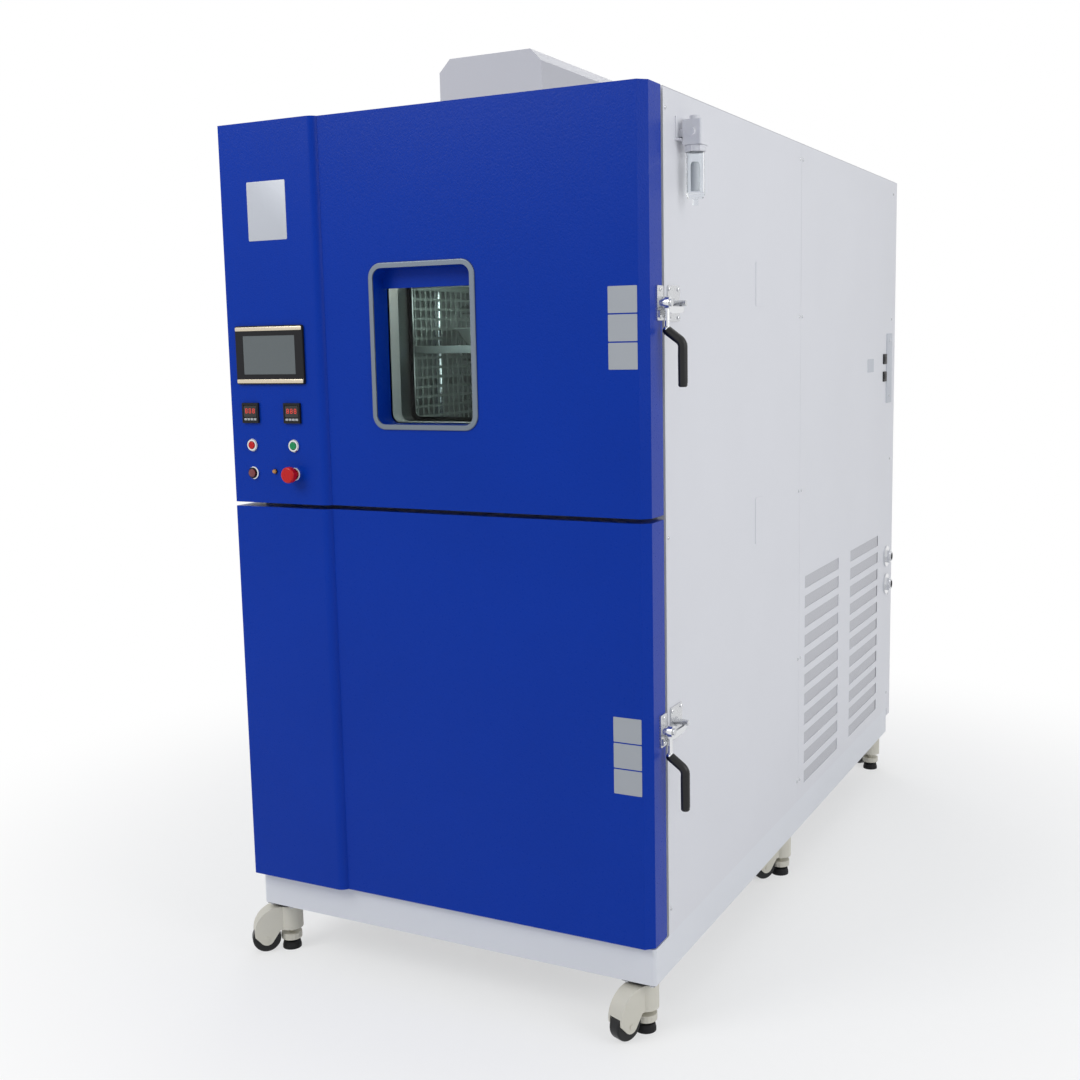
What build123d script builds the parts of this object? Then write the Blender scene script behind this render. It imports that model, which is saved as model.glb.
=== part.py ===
from build123d import *
from math import cos, radians, sin
import os

os.makedirs("parts", exist_ok=True)

# Overall sizes of the cabinet, in millimetres
body_width = 1086.0
body_depth = 2049.0
body_height = 1842.0
front_section = 975.0
base_height = 85.0
base_lip = 78.0
caster_height = 130.0
rear_cover_depth = 40.0
rear_cover_drop = 28.0
sheet = 2.0
return_flange = 20.0
panel_seam = 1.0

# How far pieces stand outside the cabinet
caster_reach = 37.24
latch_reach = 63.0
estop_reach = 34.0

# Doors, with a raised column along the hinge side
column_proud = 108.0
door_proud = 94.0
column_flat = 256.0
shoulder_radius = 24.0
edge_bevel = 18.0
door_bottom_gap = 4.0
door_seam_height = 943.0
door_seam_gap = 10.0
door_back_gap = 12.0
door_skin = 2.0

# Frame and datum planes
total_width = caster_reach + body_width + latch_reach
total_depth = estop_reach + column_proud + body_depth + rear_cover_depth
left = caster_reach - total_width / 2
right = left + body_width
middle = (left + right) / 2
front = estop_reach + column_proud - total_depth / 2
rear = front + body_depth
base_bottom = caster_height
body_bottom = base_bottom + base_height
body_top = body_bottom + body_height
door_back = front - door_back_gap
lower_door = (body_bottom + door_bottom_gap, body_bottom + door_seam_height)
upper_door = (lower_door[1] + door_seam_gap, body_top)

# Hot zone above, cold zone below, partition between them
zone_width = 600.0
zone_height = 560.0
zone_depth = 560.0
duct_depth = 140.0
partition = 160.0
partition_bottom = body_bottom + 880.0
hatch = 446.0
hatch_front = 76.0
insulation_depth = 830.0
cold_zone = (partition_bottom - zone_height, partition_bottom)
hot_zone = (partition_bottom + partition, partition_bottom + partition + zone_height)
zone_left = middle - zone_width / 2
zone_right = middle + zone_width / 2
liner_back = front + zone_depth + duct_depth
hatch_middle = front + hatch_front + hatch / 2

# Window in the upper door
window_width = 254.0
window_height = 351.0
window_radius = 22.0
window_middle = body_bottom + 1320.0
window_reveal = 54.0
trim_width = 12.0
trim_proud = 4.0
pane = 6.0
lamp_cover_height = 44.0
lamp_cover_depth = 16.0

# Plug on the inside of each door
plug_gap = 6.0
plug_depth = 50.0
plug_taper = 8.0
gasket = 14.0
gasket_gap = 0.3

# Door hinges
hinge_offset = 14.0
hinge_radius = 9.0
hinge_pin_radius = 5.0
hinge_pin_gap = 0.05
hinge_height = 110.0
hinge_knuckle = 27.0
hinge_knuckle_gap = 0.5
hinge_leaf = 4.0
hinge_leaf_length = 46.0
hinge_inset = 170.0

# Side latches
latch_pivot_y = front - 30.0
latch_heights = (body_bottom + 484.0, body_bottom + 1400.0)
latch_plate = (34.0, 72.0, 4.0)
latch_boss_radius = 13.0
latch_boss_length = 8.0
latch_pin_radius = 5.0
latch_pin_gap = 0.05
lever_plate = 6.0
lever_start = 16.0
lever_rod_radius = 5.0
lever_grip_radius = 10.0
lever_rod_drop = 57.0
lever_bend_drop = 82.0
lever_drop = 172.0
lever_outset = 34.0
keeper_y = front + 46.0
keeper_plate = (66.0, 76.0, 3.0)
keeper_roller_radius = 6.5
keeper_roller_length = 28.0
keeper_clearance = 0.5

# Operator panel on the column
panel_left = left + 60.0
panel_right = left + 184.0
touch_middle = (left + 126.0, body_bottom + 1306.0)
touch_size = (200.0, 138.0)
touch_bezel = 7.0
touch_body = (188.0, 126.0, 38.0)
controller_size = 48.0
controller_body = 45.0
controller_height = body_bottom + 1169.0
button_height = body_bottom + 1092.0
lower_button_height = body_bottom + 1025.0
button_hole = 11.2
button_cap = 9.0
button_stem = 5.0
button_collar = (14.5, 5.0)
button_travel = 4.0
estop_cap = 19.0
estop_height = 14.0
buzzer_radius = 13.0

# Casters that swivel and level
caster_plate = 80.0
caster_plate_thickness = 4.0
caster_inset = 45.0
caster_bolts = 60.0
caster_bolt_radius = 4.5
raceway = (30.0, 8.0)
kingpin = (9.0, 18.0)
swivel_gap = 0.3
wheel_radius = 36.0
wheel_width = 30.0
wheel_bore_gap = 0.05
axle_radius = 6.0
cheek = 5.0
cheek_gap = 1.5
foot_up = 12.0
foot_down = 10.0
foot_radius = 24.0
stem_radius = 7.0
thumb_radius = 26.0
thumb_height = 16.0
thumb_bottom = 26.0
thumb_gap = 2.0
wheel_offset = wheel_radius + thumb_radius + thumb_gap
caster_rows = (front - base_lip + caster_inset, front + 950.0, rear - caster_inset)
caster_turns = ((225.0, 248.0), (300.0, 237.0), (20.0, 137.0))

# Lift, basket and its two insulated plugs
basket_width = 366.0
basket_depth = 360.0
basket_height = 430.0
basket_travel = 550.0
basket_bar = 12.0
basket_sheet = 1.5
basket_holes = (36.0, 45.0)
shelf_height = 262.0
shelf_lip = 30.0
plug_width = 440.0
bottom_plug = 160.0
top_plug = 120.0
guide_radius = 10.0
guide_gap = 0.1
guide_spacing = 404.0
hood_width = 280.0
hood_height = 164.0
hood_front = 238.0
hood_length = 820.0
hood_chamfer = 30.0
cylinder_radius = 25.0
cylinder_length = 335.0
rod_radius = 8.0
rod_gap = 0.1
sheave_radius = 30.0

# Fans, refrigeration and services
fan_radius = 110.0
fan_width = 62.0
fan_blades = 12
shaft_radius = 8.0
shaft_gap = 0.05
motor_radius = 62.0
motor_length = 170.0
slot_size = (360.0, 36.0)
slot_pitch = (497.0, 57.5)
slot_rows = 11
slot_first_column = 1030.0
slot_top = body_bottom + 648.0
fitting_spots = (body_bottom + 462.0, body_bottom + 560.0)
fitting_y = front + 2000.0
fitting_bore = 12.5
filter_y = front + 95.0
filter_top = body_bottom + 1782.0
filter_block = (44.0, 52.0)
filter_bracket = 12.0
bowl_radius = 20.0
bowl_length = 124.0


def block(low, high, mode=Mode.ADD):
    """Box between two opposite corners."""
    size = [b - a for a, b in zip(low, high)]
    centre = [(a + b) / 2 for a, b in zip(low, high)]
    with Locations(tuple(centre)):
        Box(*size, mode=mode)


def rod(start, radius, length, axis, mode=Mode.ADD):
    """Cylinder that runs from its start point along a positive axis."""
    turn = {"x": (0, 90, 0), "y": (-90, 0, 0), "z": (0, 0, 0)}[axis]
    with Locations(Location(start, turn)):
        Cylinder(radius, length, align=(Align.CENTER, Align.CENTER, Align.MIN), mode=mode)


def keep(builder, name):
    """Label a finished piece and write it."""
    builder.part.label = name
    export_step(builder.part, f"parts/{name}.step")


def bar(low, high):
    """One separate bar or sheet between two opposite corners."""
    with BuildPart() as member:
        block(low, high)
    return member.part


def keep_members(members, name):
    """Write one node whose members stay separate solids."""
    whole = Compound([solid for member in members for solid in member.solids()])
    whole.label = name
    export_step(whole, f"parts/{name}.step")


def framed_hole(width, height, radius, x, z, y, depth, mode=Mode.SUBTRACT):
    """Round-cornered prism through a front face, from y back by depth."""
    with BuildSketch(Plane.XZ.offset(-y)) as profile:
        with Locations((x, z)):
            RectangleRounded(width, height, radius)
    extrude(profile.sketch, amount=-depth, mode=mode)


def welded_frame():
    """Skirt, deck, caster flanges, cross channels, and the uprights and rails of the machine bay."""
    skirt, deck, flange, post = 3.0, 3.0, 92.0, 40.0
    skirt_front = front - base_lip
    deck_bottom = body_bottom - deck
    with BuildPart() as ring:
        block((left, skirt_front, base_bottom), (right, rear, deck_bottom))
        fillet(ring.edges().filter_by(Axis.Z), 8.0)
        block(
            (left + skirt, skirt_front + skirt, base_bottom),
            (right - skirt, rear - skirt, deck_bottom),
            Mode.SUBTRACT,
        )
    with BuildPart() as top:
        block((left, skirt_front, deck_bottom), (right, rear, body_bottom))
        fillet(top.edges().filter_by(Axis.Z), 8.0)
    members = [ring.part, top.part]
    for x in (left + skirt, right - skirt - flange):
        with BuildPart() as ledge:
            block((x, skirt_front + skirt, base_bottom), (x + flange, rear - skirt, base_bottom + 5))
            for column in (left + caster_inset, right - caster_inset):
                for y in caster_rows:
                    with Locations((column, y, base_bottom + 2)):
                        with GridLocations(caster_bolts, caster_bolts, 2, 2):
                            Cylinder(caster_bolt_radius, 12, mode=Mode.SUBTRACT)
        members.append(ledge.part)
    start, end = left + skirt + flange, right - skirt - flange
    for y in caster_rows:
        with BuildPart() as channel:
            block((start, y - 36, base_bottom), (end, y - 32, deck_bottom))
            for z in (base_bottom, deck_bottom - 4):
                block((start, y - 36, z), (end, y + 36, z + 4))
        members.append(channel.part)
    # Machine bay uprights with rails between them
    post_rows = (front + insulation_depth + 60, rear - post - sheet)
    rail_levels = (body_top - sheet - post, body_bottom + body_height / 2)
    for y in post_rows:
        for x in (left + sheet, right - sheet - post):
            with BuildPart() as upright:
                block((x, y, body_bottom), (x + post, y + post, body_top - sheet))
                # Room for the water fittings beside the rear post
                for z in fitting_spots:
                    rod((right - 70, fitting_y, z), 18, 70, "x", Mode.SUBTRACT)
            members.append(upright.part)
        for z in rail_levels:
            members.append(
                bar((left + sheet + post, y, z), (right - sheet - post, y + post, z + post))
            )
    for x in (left + sheet, right - sheet - post):
        for z in rail_levels:
            members.append(bar((x, post_rows[0] + post, z), (x + post, post_rows[1], z + post)))
    keep_members(members, "welded_frame")


def side_panels():
    top = body_top - sheet
    end = front + front_section - panel_seam / 2
    with BuildPart() as panels:
        for outer, inward in ((left, 1), (right, -1)):
            inner = outer + inward * sheet
            fold = outer + inward * return_flange
            xs = sorted((outer, inner))
            folds = sorted((outer, fold))
            block((xs[0], front, body_bottom), (xs[1], end, top))
            block((folds[0], front, body_bottom), (folds[1], front + sheet, top))
        # Two blank cover plates pressed proud of the right side
        for low, high in ((803, 922), (1403, 1512)):
            with BuildSketch(Plane.YZ.offset(right)):
                with Locations((front + 622, body_bottom + (low + high) / 2)):
                    RectangleRounded(62, high - low, 5)
            extrude(amount=1.5)
    keep(panels, "side_panels")


def vent_panels():
    start = front + front_section + panel_seam / 2
    top = body_top - sheet
    centre_y = front + slot_first_column + (slot_size[0] + slot_pitch[0]) / 2
    centre_z = slot_top - (slot_size[1] + (slot_rows - 1) * slot_pitch[1]) / 2
    with BuildPart() as panels:
        for outer, inward in ((left, 1), (right, -1)):
            xs = sorted((outer, outer + inward * sheet))
            block((xs[0], start, body_bottom), (xs[1], rear, top))
            with BuildSketch(Plane.YZ.offset(xs[0])):
                with Locations((centre_y, centre_z)):
                    with GridLocations(slot_pitch[0], slot_pitch[1], 2, slot_rows):
                        Rectangle(slot_size[0], slot_size[1])
            extrude(amount=sheet, mode=Mode.SUBTRACT)
        for z in fitting_spots:
            rod((right - 2 * sheet, fitting_y, z), 17.3, 4 * sheet, "x", Mode.SUBTRACT)
    keep(panels, "vent_panels")


def roof_panel():
    slot_front = front + hood_front + 20
    with BuildPart() as roof:
        block((left, front, body_top - sheet), (right, rear, body_top))
        block(
            (middle - 60, slot_front, body_top - sheet),
            (middle + 60, slot_front + 160, body_top),
            Mode.SUBTRACT,
        )
    keep(roof, "roof_panel")


def rear_cover():
    bottom = body_bottom - rear_cover_drop
    with BuildPart() as cover:
        block((left, rear, bottom), (right, rear + rear_cover_depth, body_top))
        block(
            (left + sheet, rear, bottom + sheet),
            (right - sheet, rear + rear_cover_depth - sheet, body_top - sheet),
            Mode.SUBTRACT,
        )
        with BuildSketch(Plane.XZ.offset(-rear - rear_cover_depth)):
            with Locations((middle, body_bottom + 420)):
                with GridLocations(420, slot_pitch[1], 2, 8):
                    Rectangle(slot_size[0], slot_size[1])
        extrude(amount=rear_cover_depth / 2, mode=Mode.SUBTRACT)
    keep(cover, "rear_cover")


def insulation_block():
    wall = sheet
    with BuildPart() as wool:
        block(
            (left + sheet, front + sheet, body_bottom),
            (right - sheet, front + insulation_depth, body_top - sheet),
        )
        for low, high in (cold_zone, hot_zone):
            block(
                (zone_left - wall, front, low - wall),
                (zone_right + wall, liner_back + wall, high + wall),
                Mode.SUBTRACT,
            )
            rod((middle, front, (low + high) / 2), 30, insulation_depth, "y", Mode.SUBTRACT)
        reach = hatch / 2 + wall
        block(
            (middle - reach, hatch_middle - reach, cold_zone[1]),
            (middle + reach, hatch_middle + reach, hot_zone[0]),
            Mode.SUBTRACT,
        )
        block(
            (middle - 60, front + hood_front + 20, hot_zone[1]),
            (middle + 60, front + hood_front + 180, body_top),
            Mode.SUBTRACT,
        )
    keep(wool, "insulation_block")


def chamber_liners():
    """A tank and a front flange for each zone, and the sleeve of the hatch between them."""
    seam = (lower_door[1] + upper_door[0]) / 2
    flange_left = left + return_flange
    flange_right = right - return_flange
    shells = []
    for (low, high), (bottom, top) in (
        (cold_zone, (body_bottom, seam - panel_seam / 2)),
        (hot_zone, (seam + panel_seam / 2, body_top - sheet)),
    ):
        corner = (zone_left - sheet, front, low - sheet)
        far = (zone_right + sheet, liner_back + sheet, high + sheet)
        with BuildPart() as tank:
            block(corner, far)
            block((zone_left, front, low), (zone_right, liner_back, high), Mode.SUBTRACT)
            rod((middle, liner_back, (low + high) / 2), 14, 3 * sheet, "y", Mode.SUBTRACT)
            block(
                (middle - hatch / 2, hatch_middle - hatch / 2, cold_zone[1]),
                (middle + hatch / 2, hatch_middle + hatch / 2, hot_zone[0]),
                Mode.SUBTRACT,
            )
            block(
                (middle - 30, front + hood_front + 50, hot_zone[1]),
                (middle + 30, front + hood_front + 110, hot_zone[1] + sheet),
                Mode.SUBTRACT,
            )
        with BuildPart() as flange:
            block((flange_left, front, bottom), (flange_right, front + sheet, top))
            block(corner, far, Mode.SUBTRACT)
        shells += [tank.part, flange.part]
    reach = hatch / 2 + sheet
    with BuildPart() as sleeve:
        block(
            (middle - reach, hatch_middle - reach, cold_zone[1] + sheet),
            (middle + reach, hatch_middle + reach, hot_zone[0] - sheet),
        )
        block(
            (middle - hatch / 2, hatch_middle - hatch / 2, cold_zone[1]),
            (middle + hatch / 2, hatch_middle + hatch / 2, hot_zone[0]),
            Mode.SUBTRACT,
        )
    keep_members(shells + [sleeve.part], "chamber_liners")


def air_baffles():
    y = front + zone_depth
    with BuildPart() as baffles:
        for low, high in (cold_zone, hot_zone):
            block((zone_left, y, low), (zone_right, y + sheet, high))
            centre = (low + high) / 2
            rod((middle, y, centre), fan_radius - 10, sheet, "y", Mode.SUBTRACT)
            for side in (-1, 1):
                with BuildSketch(Plane.XZ.offset(-y)):
                    with Locations((middle + side * 215, centre)):
                        with GridLocations(56, 64, 3, 8):
                            Rectangle(34, 22)
                extrude(amount=-sheet, mode=Mode.SUBTRACT)
    keep(baffles, "air_baffles")


def heater_coil():
    y = liner_back - 28
    tube, bend = 6.0, 22.0
    with BuildPart() as coil:
        for step in range(4):
            x = zone_left + 60 + step * 50
            if step > 1:
                x = zone_right - 60 - (step - 2) * 50
            top = hot_zone[1] - 2
            bottom = hot_zone[0] + 70
            with BuildLine():
                FilletPolyline(
                    (x - bend, y, top),
                    (x - bend, y, bottom),
                    (x + bend, y, bottom),
                    (x + bend, y, top),
                    radius=bend - 0.5,
                )
            with BuildSketch(Plane(origin=(x - bend, y, top), z_dir=(0, 0, -1))):
                Circle(tube)
            sweep()
        for x in (zone_left + 85, zone_right - 85):
            block((x - 60, y - 12, hot_zone[1] - 4), (x + 60, y + 12, hot_zone[1]))
    keep(coil, "heater_coil")


def evaporator():
    depth, fins = 60.0, 14
    y = liner_back - depth - 6
    top = cold_zone[1] - 20
    bottom = cold_zone[1] - 150
    start, end = zone_left + 30, zone_right - 30
    with BuildPart() as coil:
        for step in range(fins):
            x = start + step * (end - start - 2) / (fins - 1)
            block((x, y, bottom), (x + 2, y + depth, top))
        for z in (bottom + 30, bottom + 65, bottom + 100):
            for offset in (15, 45):
                rod((start - 12, y + offset, z), 5, end - start + 24, "x")
        for x in (start - 30, end):
            block((x, y, bottom - 10), (x + 30, y + 2, top + 20))
        block((start - 30, y, top + 16), (end + 30, y + depth, top + 20))
    keep(coil, "evaporator")


def refrigeration_set():
    """Two compressors on their feet and the water-cooled condenser behind them."""
    with BuildPart() as plant:
        for x in (middle - 210, middle + 210):
            y = rear - 380
            rod((x, y, body_bottom + 12), 92, 30, "z")
            rod((x, y, body_bottom + 42), 105, 220, "z")
            rod((x, y, body_bottom + 262), 88, 34, "z")
            rod((x, y, body_bottom + 296), 52, 20, "z")
            block((x - 130, y - 90, body_bottom), (x + 130, y + 90, body_bottom + 14))
            rod((x, y, body_bottom + 200), 14, 135, "y")
        y, z = rear - 130, body_bottom + 170
        rod((middle - 330, y, z), 72, 660, "x")
        for x in (middle - 345, middle + 325):
            rod((x, y, z), 84, 20, "x")
        for x in (middle - 240, middle + 220):
            block((x, y - 60, body_bottom), (x + 20, y + 60, z - 40))
        for x in (middle - 200, middle + 200):
            rod((x, y, z + 60), 11, 50, "z")
    keep(plant, "refrigeration_set")


def roof_housing():
    start = front + hood_front
    top = body_top + hood_height
    with BuildPart() as hood:
        for inset, mode in ((0, Mode.ADD), (sheet, Mode.SUBTRACT)):
            half = hood_width / 2 - inset
            crown = top - inset
            # Both skins keep the same 45 degree corner
            cut = hood_chamfer - inset * 0.586
            with BuildSketch(Plane.XZ.offset(-start - inset)):
                with BuildLine():
                    Polyline(
                        (middle - half, body_top),
                        (middle - half, crown - cut),
                        (middle - half + cut, crown),
                        (middle + half - cut, crown),
                        (middle + half, crown - cut),
                        (middle + half, body_top),
                        close=True,
                    )
                make_face()
            extrude(amount=-(hood_length - 2 * inset), mode=mode)
    keep(hood, "roof_housing")


def lift_height():
    return body_top + 78


def lift_sheave_y():
    """Middle of the moving sheave with the basket up."""
    return front + hood_front + 395


def lift_cylinder():
    z = lift_height()
    start = lift_sheave_y() + 45
    end = start + cylinder_length
    guide_y = front + hood_front + 80
    with BuildPart() as cylinder:
        block((middle - 45, guide_y - 40, body_top), (middle + 45, end + 10, body_top + 6))
        rod((middle, start, z), cylinder_radius, cylinder_length, "y")
        for y in (start, end - 24):
            block((middle - 30, y, z - 30), (middle + 30, y + 24, z + 30))
            block((middle - 22, y + 4, body_top), (middle + 22, y + 20, z - 20))
        rod((middle, start, z), rod_radius + rod_gap, cylinder_length - 30, "y", Mode.SUBTRACT)
        # Guide sheave over the basket, between two cheeks
        for x in (middle - 22, middle + 16):
            block((x, guide_y - 22, body_top), (x + 6, guide_y + 22, z + 14))
        rod((middle - 9, guide_y, z), sheave_radius, 18, "x")
        rod((middle - 22, guide_y, z), 6, 44, "x")
        block(
            (middle - 12, guide_y - 30, body_top),
            (middle + 12, guide_y + 26, body_top + 6),
            Mode.SUBTRACT,
        )
    keep(cylinder, "lift_cylinder")


def lift_rod():
    z = lift_height()
    sheave = lift_sheave_y()
    with BuildPart() as ram:
        rod((middle, sheave + 38, z), rod_radius, cylinder_length - 30, "y")
        for x in (middle - 20, middle + 14):
            block((x, sheave - 14, z - 14), (x + 6, sheave + 40, z + 14))
        block((middle - 20, sheave + 34, z - 14), (middle + 20, sheave + 42, z + 14))
        rod((middle - 9, sheave, z), sheave_radius, 18, "x")
        rod((middle - 20, sheave, z), 6, 40, "x")
    keep(ram, "lift_rod")


def hinge_centres(door):
    low, high = door
    return (low + hinge_inset, high - hinge_inset)


def hinge_axis():
    return (left - hinge_offset, door_back + 4)


def cabinet_hinges():
    x, y = hinge_axis()
    bore = hinge_pin_radius + hinge_pin_gap / 2
    with BuildPart() as hinges:
        for door in (lower_door, upper_door):
            for z in hinge_centres(door):
                low = z - hinge_height / 2
                high = z + hinge_height / 2
                for start in (low, high - hinge_knuckle):
                    rod((x, y, start), hinge_radius, hinge_knuckle, "z")
                    block(
                        (x, y + hinge_radius - hinge_leaf, start),
                        (left, y + hinge_radius, start + hinge_knuckle),
                    )
                    block(
                        (left - hinge_leaf, y + hinge_radius - hinge_leaf, start),
                        (left, y + hinge_radius, start + hinge_knuckle),
                    )
                block(
                    (left - hinge_leaf, front, low),
                    (left, front + hinge_leaf_length, high),
                )
                for start in (low, high - hinge_knuckle):
                    block(
                        (left - hinge_leaf, y + hinge_radius - hinge_leaf, start),
                        (left, front + hinge_leaf, start + hinge_knuckle),
                    )
                rod((x, y, low - 1), bore, hinge_height + 2, "z", Mode.SUBTRACT)
    with BuildPart() as pins:
        for door in (lower_door, upper_door):
            for z in hinge_centres(door):
                rod((x, y, z - hinge_height / 2 - 2), hinge_pin_radius, hinge_height + 4, "z")
                rod((x, y, z + hinge_height / 2), hinge_pin_radius + 2, 3, "z")
    with BuildPart() as both:
        add(hinges.part)
        add(pins.part.solids())
    keep(both, "cabinet_hinges")


def door_leaves(door):
    """Middle knuckle and leaf of each hinge, welded to the door's side."""
    x, y = hinge_axis()
    reach = hinge_height / 2 - hinge_knuckle - hinge_knuckle_gap
    for z in hinge_centres(door):
        rod((x, y, z - reach), hinge_radius, 2 * reach, "z")
        block((x, y - hinge_radius, z - reach), (left + 0.5, y - hinge_radius + hinge_leaf, z + reach))
        block(
            (left - hinge_leaf, y - hinge_radius - hinge_leaf_length, z - reach),
            (left, y - hinge_radius + hinge_leaf, z + reach),
        )
        rod((x, y, z - reach - 1), hinge_pin_radius + hinge_pin_gap, 2 * reach + 2, "z", Mode.SUBTRACT)


def door_outline(inset, back):
    """Plan of a door: raised column, soft shoulder, flat face and bevelled edge."""
    column_face = front - column_proud + inset
    door_face = front - door_proud + inset
    radius = shoulder_radius - inset
    step = column_proud - door_proud
    rise = 1 - step / shoulder_radius
    run = (1 - rise**2) ** 0.5
    turn_centre = (left + column_flat, front - column_proud + shoulder_radius)
    bevel = edge_bevel - inset * 0.414
    with BuildLine() as outline:
        lead = Polyline(
            (left + inset, back),
            (left + inset, column_face),
            (turn_centre[0], column_face),
        )
        shoulder_end = (turn_centre[0] + radius * run, door_face)
        drop = turn_centre[1] - radius
        middle_turn = (
            turn_centre[0] + radius * 0.55 * run,
            turn_centre[1] - radius * (1 - (0.55 * run) ** 2) ** 0.5,
        )
        arc = ThreePointArc((turn_centre[0], drop), middle_turn, shoulder_end)
        Polyline(
            arc @ 1,
            (right - edge_bevel - inset * 0.414, door_face),
            (right - inset, door_face + bevel),
            (right - inset, back),
            lead @ 0,
        )
    make_face(outline.edges())


def door_shell(name, door, has_window):
    low, high = door
    with BuildPart() as shell:
        with BuildSketch(Plane.XY.offset(low)):
            door_outline(0.0, door_back)
        extrude(amount=high - low)
        with BuildSketch(Plane.XY.offset(low + door_skin)):
            door_outline(door_skin, door_back)
        extrude(amount=high - low - 2 * door_skin, mode=Mode.SUBTRACT)
        if has_window:
            glass = front - door_proud + window_reveal
            framed_hole(
                window_width + 2 * door_skin,
                window_height + 2 * door_skin,
                window_radius + door_skin,
                middle,
                window_middle,
                front - door_proud,
                window_reveal,
                Mode.ADD,
            )
            framed_hole(
                window_width,
                window_height,
                window_radius,
                middle,
                window_middle,
                front - door_proud,
                window_reveal,
            )
            # Cover of the chamber lamp, across the top of the window
            top = window_middle + window_height / 2
            block(
                (middle - window_width / 2, glass - lamp_cover_depth, top - lamp_cover_height),
                (middle + window_width / 2, glass, top + door_skin / 2),
            )
            # Openings for the operator panel
            column_face = front - column_proud
            x, z = touch_middle
            block(
                (x - touch_body[0] / 2 - 1, column_face, z - touch_body[1] / 2 - 1),
                (x + touch_body[0] / 2 + 1, column_face + door_skin, z + touch_body[1] / 2 + 1),
                Mode.SUBTRACT,
            )
            for x in (panel_left, panel_right):
                half = controller_body / 2 + 0.5
                block(
                    (x - half, column_face, controller_height - half),
                    (x + half, column_face + door_skin, controller_height + half),
                    Mode.SUBTRACT,
                )
                for z in (button_height, lower_button_height):
                    rod((x, column_face, z), button_hole, door_skin, "y", Mode.SUBTRACT)
        door_leaves(door)
    keep(shell, name)


def door_liner(name, door, zone, has_window):
    low, high = door
    zone_low, zone_high = zone
    back = front + plug_depth
    with BuildPart() as liner:
        # Back pan that closes the shell
        block(
            (left + door_skin, door_back - door_skin, low + door_skin),
            (right - door_skin, door_back, high - door_skin),
        )
        # Tapered plug that enters the zone
        with BuildSketch(Plane.XZ.offset(-door_back)):
            with Locations((middle, (zone_low + zone_high) / 2)):
                RectangleRounded(zone_width - 2 * plug_gap, zone_height - 2 * plug_gap, 18)
        with BuildSketch(Plane.XZ.offset(-back)):
            with Locations((middle, (zone_low + zone_high) / 2)):
                RectangleRounded(
                    zone_width - 2 * plug_gap - 2 * plug_taper,
                    zone_height - 2 * plug_gap - 2 * plug_taper,
                    14,
                )
        loft()
        with BuildSketch(Plane.XZ.offset(-door_back + door_skin)):
            with Locations((middle, (zone_low + zone_high) / 2)):
                RectangleRounded(
                    zone_width - 2 * plug_gap - 2 * sheet,
                    zone_height - 2 * plug_gap - 2 * sheet,
                    16,
                )
        with BuildSketch(Plane.XZ.offset(-back + sheet)):
            with Locations((middle, (zone_low + zone_high) / 2)):
                RectangleRounded(
                    zone_width - 2 * plug_gap - 2 * plug_taper - 2 * sheet,
                    zone_height - 2 * plug_gap - 2 * plug_taper - 2 * sheet,
                    12,
                )
        loft(mode=Mode.SUBTRACT)
        if has_window:
            start = front - door_proud + window_reveal + pane
            tube = (window_width + 2 * sheet, window_height + 2 * sheet)
            framed_hole(*tube, window_radius + sheet, middle, window_middle, start, back - start, Mode.ADD)
            framed_hole(
                window_width, window_height, window_radius, middle, window_middle, start, back - start
            )
            # Rim that holds the inner pane
            framed_hole(
                window_width + 40, window_height + 40, 30, middle, window_middle, back, 3.0, Mode.ADD
            )
            framed_hole(
                window_width - 20, window_height - 20, 14, middle, window_middle, back, 3.0
            )
    keep(liner, name)


def window_trim():
    face = front - door_proud
    with BuildPart() as trim:
        framed_hole(
            window_width + 2 * trim_width,
            window_height + 2 * trim_width,
            window_radius + trim_width,
            middle,
            window_middle,
            face - trim_proud,
            trim_proud,
            Mode.ADD,
        )
        framed_hole(
            window_width, window_height, window_radius, middle, window_middle, face - trim_proud, trim_proud
        )
        outer = trim.faces().sort_by(Axis.Y)[0]
        fillet(outer.outer_wire().edges(), 2.5)
    keep(trim, "window_trim")


def window_panes():
    outer = front - door_proud + window_reveal
    inner = front + plug_depth - pane
    with BuildPart() as panes:
        framed_hole(
            window_width + 2 * sheet,
            window_height + 2 * sheet,
            window_radius + sheet,
            middle,
            window_middle,
            outer,
            pane,
            Mode.ADD,
        )
        framed_hole(
            window_width, window_height, window_radius, middle, window_middle, inner, pane, Mode.ADD
        )
    keep(panes, "window_panes")


def door_gaskets():
    depth = door_back_gap - gasket_gap
    with BuildPart() as seals:
        for low, high in (cold_zone, hot_zone):
            centre = (low + high) / 2
            framed_hole(
                zone_width + 4 * gasket,
                zone_height + 4 * gasket,
                2 * gasket,
                middle,
                centre,
                front - depth,
                depth,
                Mode.ADD,
            )
            framed_hole(
                zone_width + 2 * gasket,
                zone_height + 2 * gasket,
                gasket,
                middle,
                centre,
                front - depth,
                depth,
            )
    keep(seals, "door_gaskets")


def touch_panel():
    x, z = touch_middle
    face = front - column_proud
    with BuildPart() as panel:
        block(
            (x - touch_size[0] / 2, face - touch_bezel, z - touch_size[1] / 2),
            (x + touch_size[0] / 2, face, z + touch_size[1] / 2),
        )
        fillet(panel.edges().filter_by(Axis.Y), 5)
        chamfer(panel.faces().sort_by(Axis.Y)[0].edges(), 1.5)
        block(
            (x - 77, face - touch_bezel, z - 46),
            (x + 77, face - touch_bezel + 1.5, z + 46),
            Mode.SUBTRACT,
        )
        block(
            (x - touch_body[0] / 2, face, z - touch_body[1] / 2),
            (x + touch_body[0] / 2, face + touch_body[2], z + touch_body[1] / 2),
        )
    keep(panel, "touch_panel")


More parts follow.
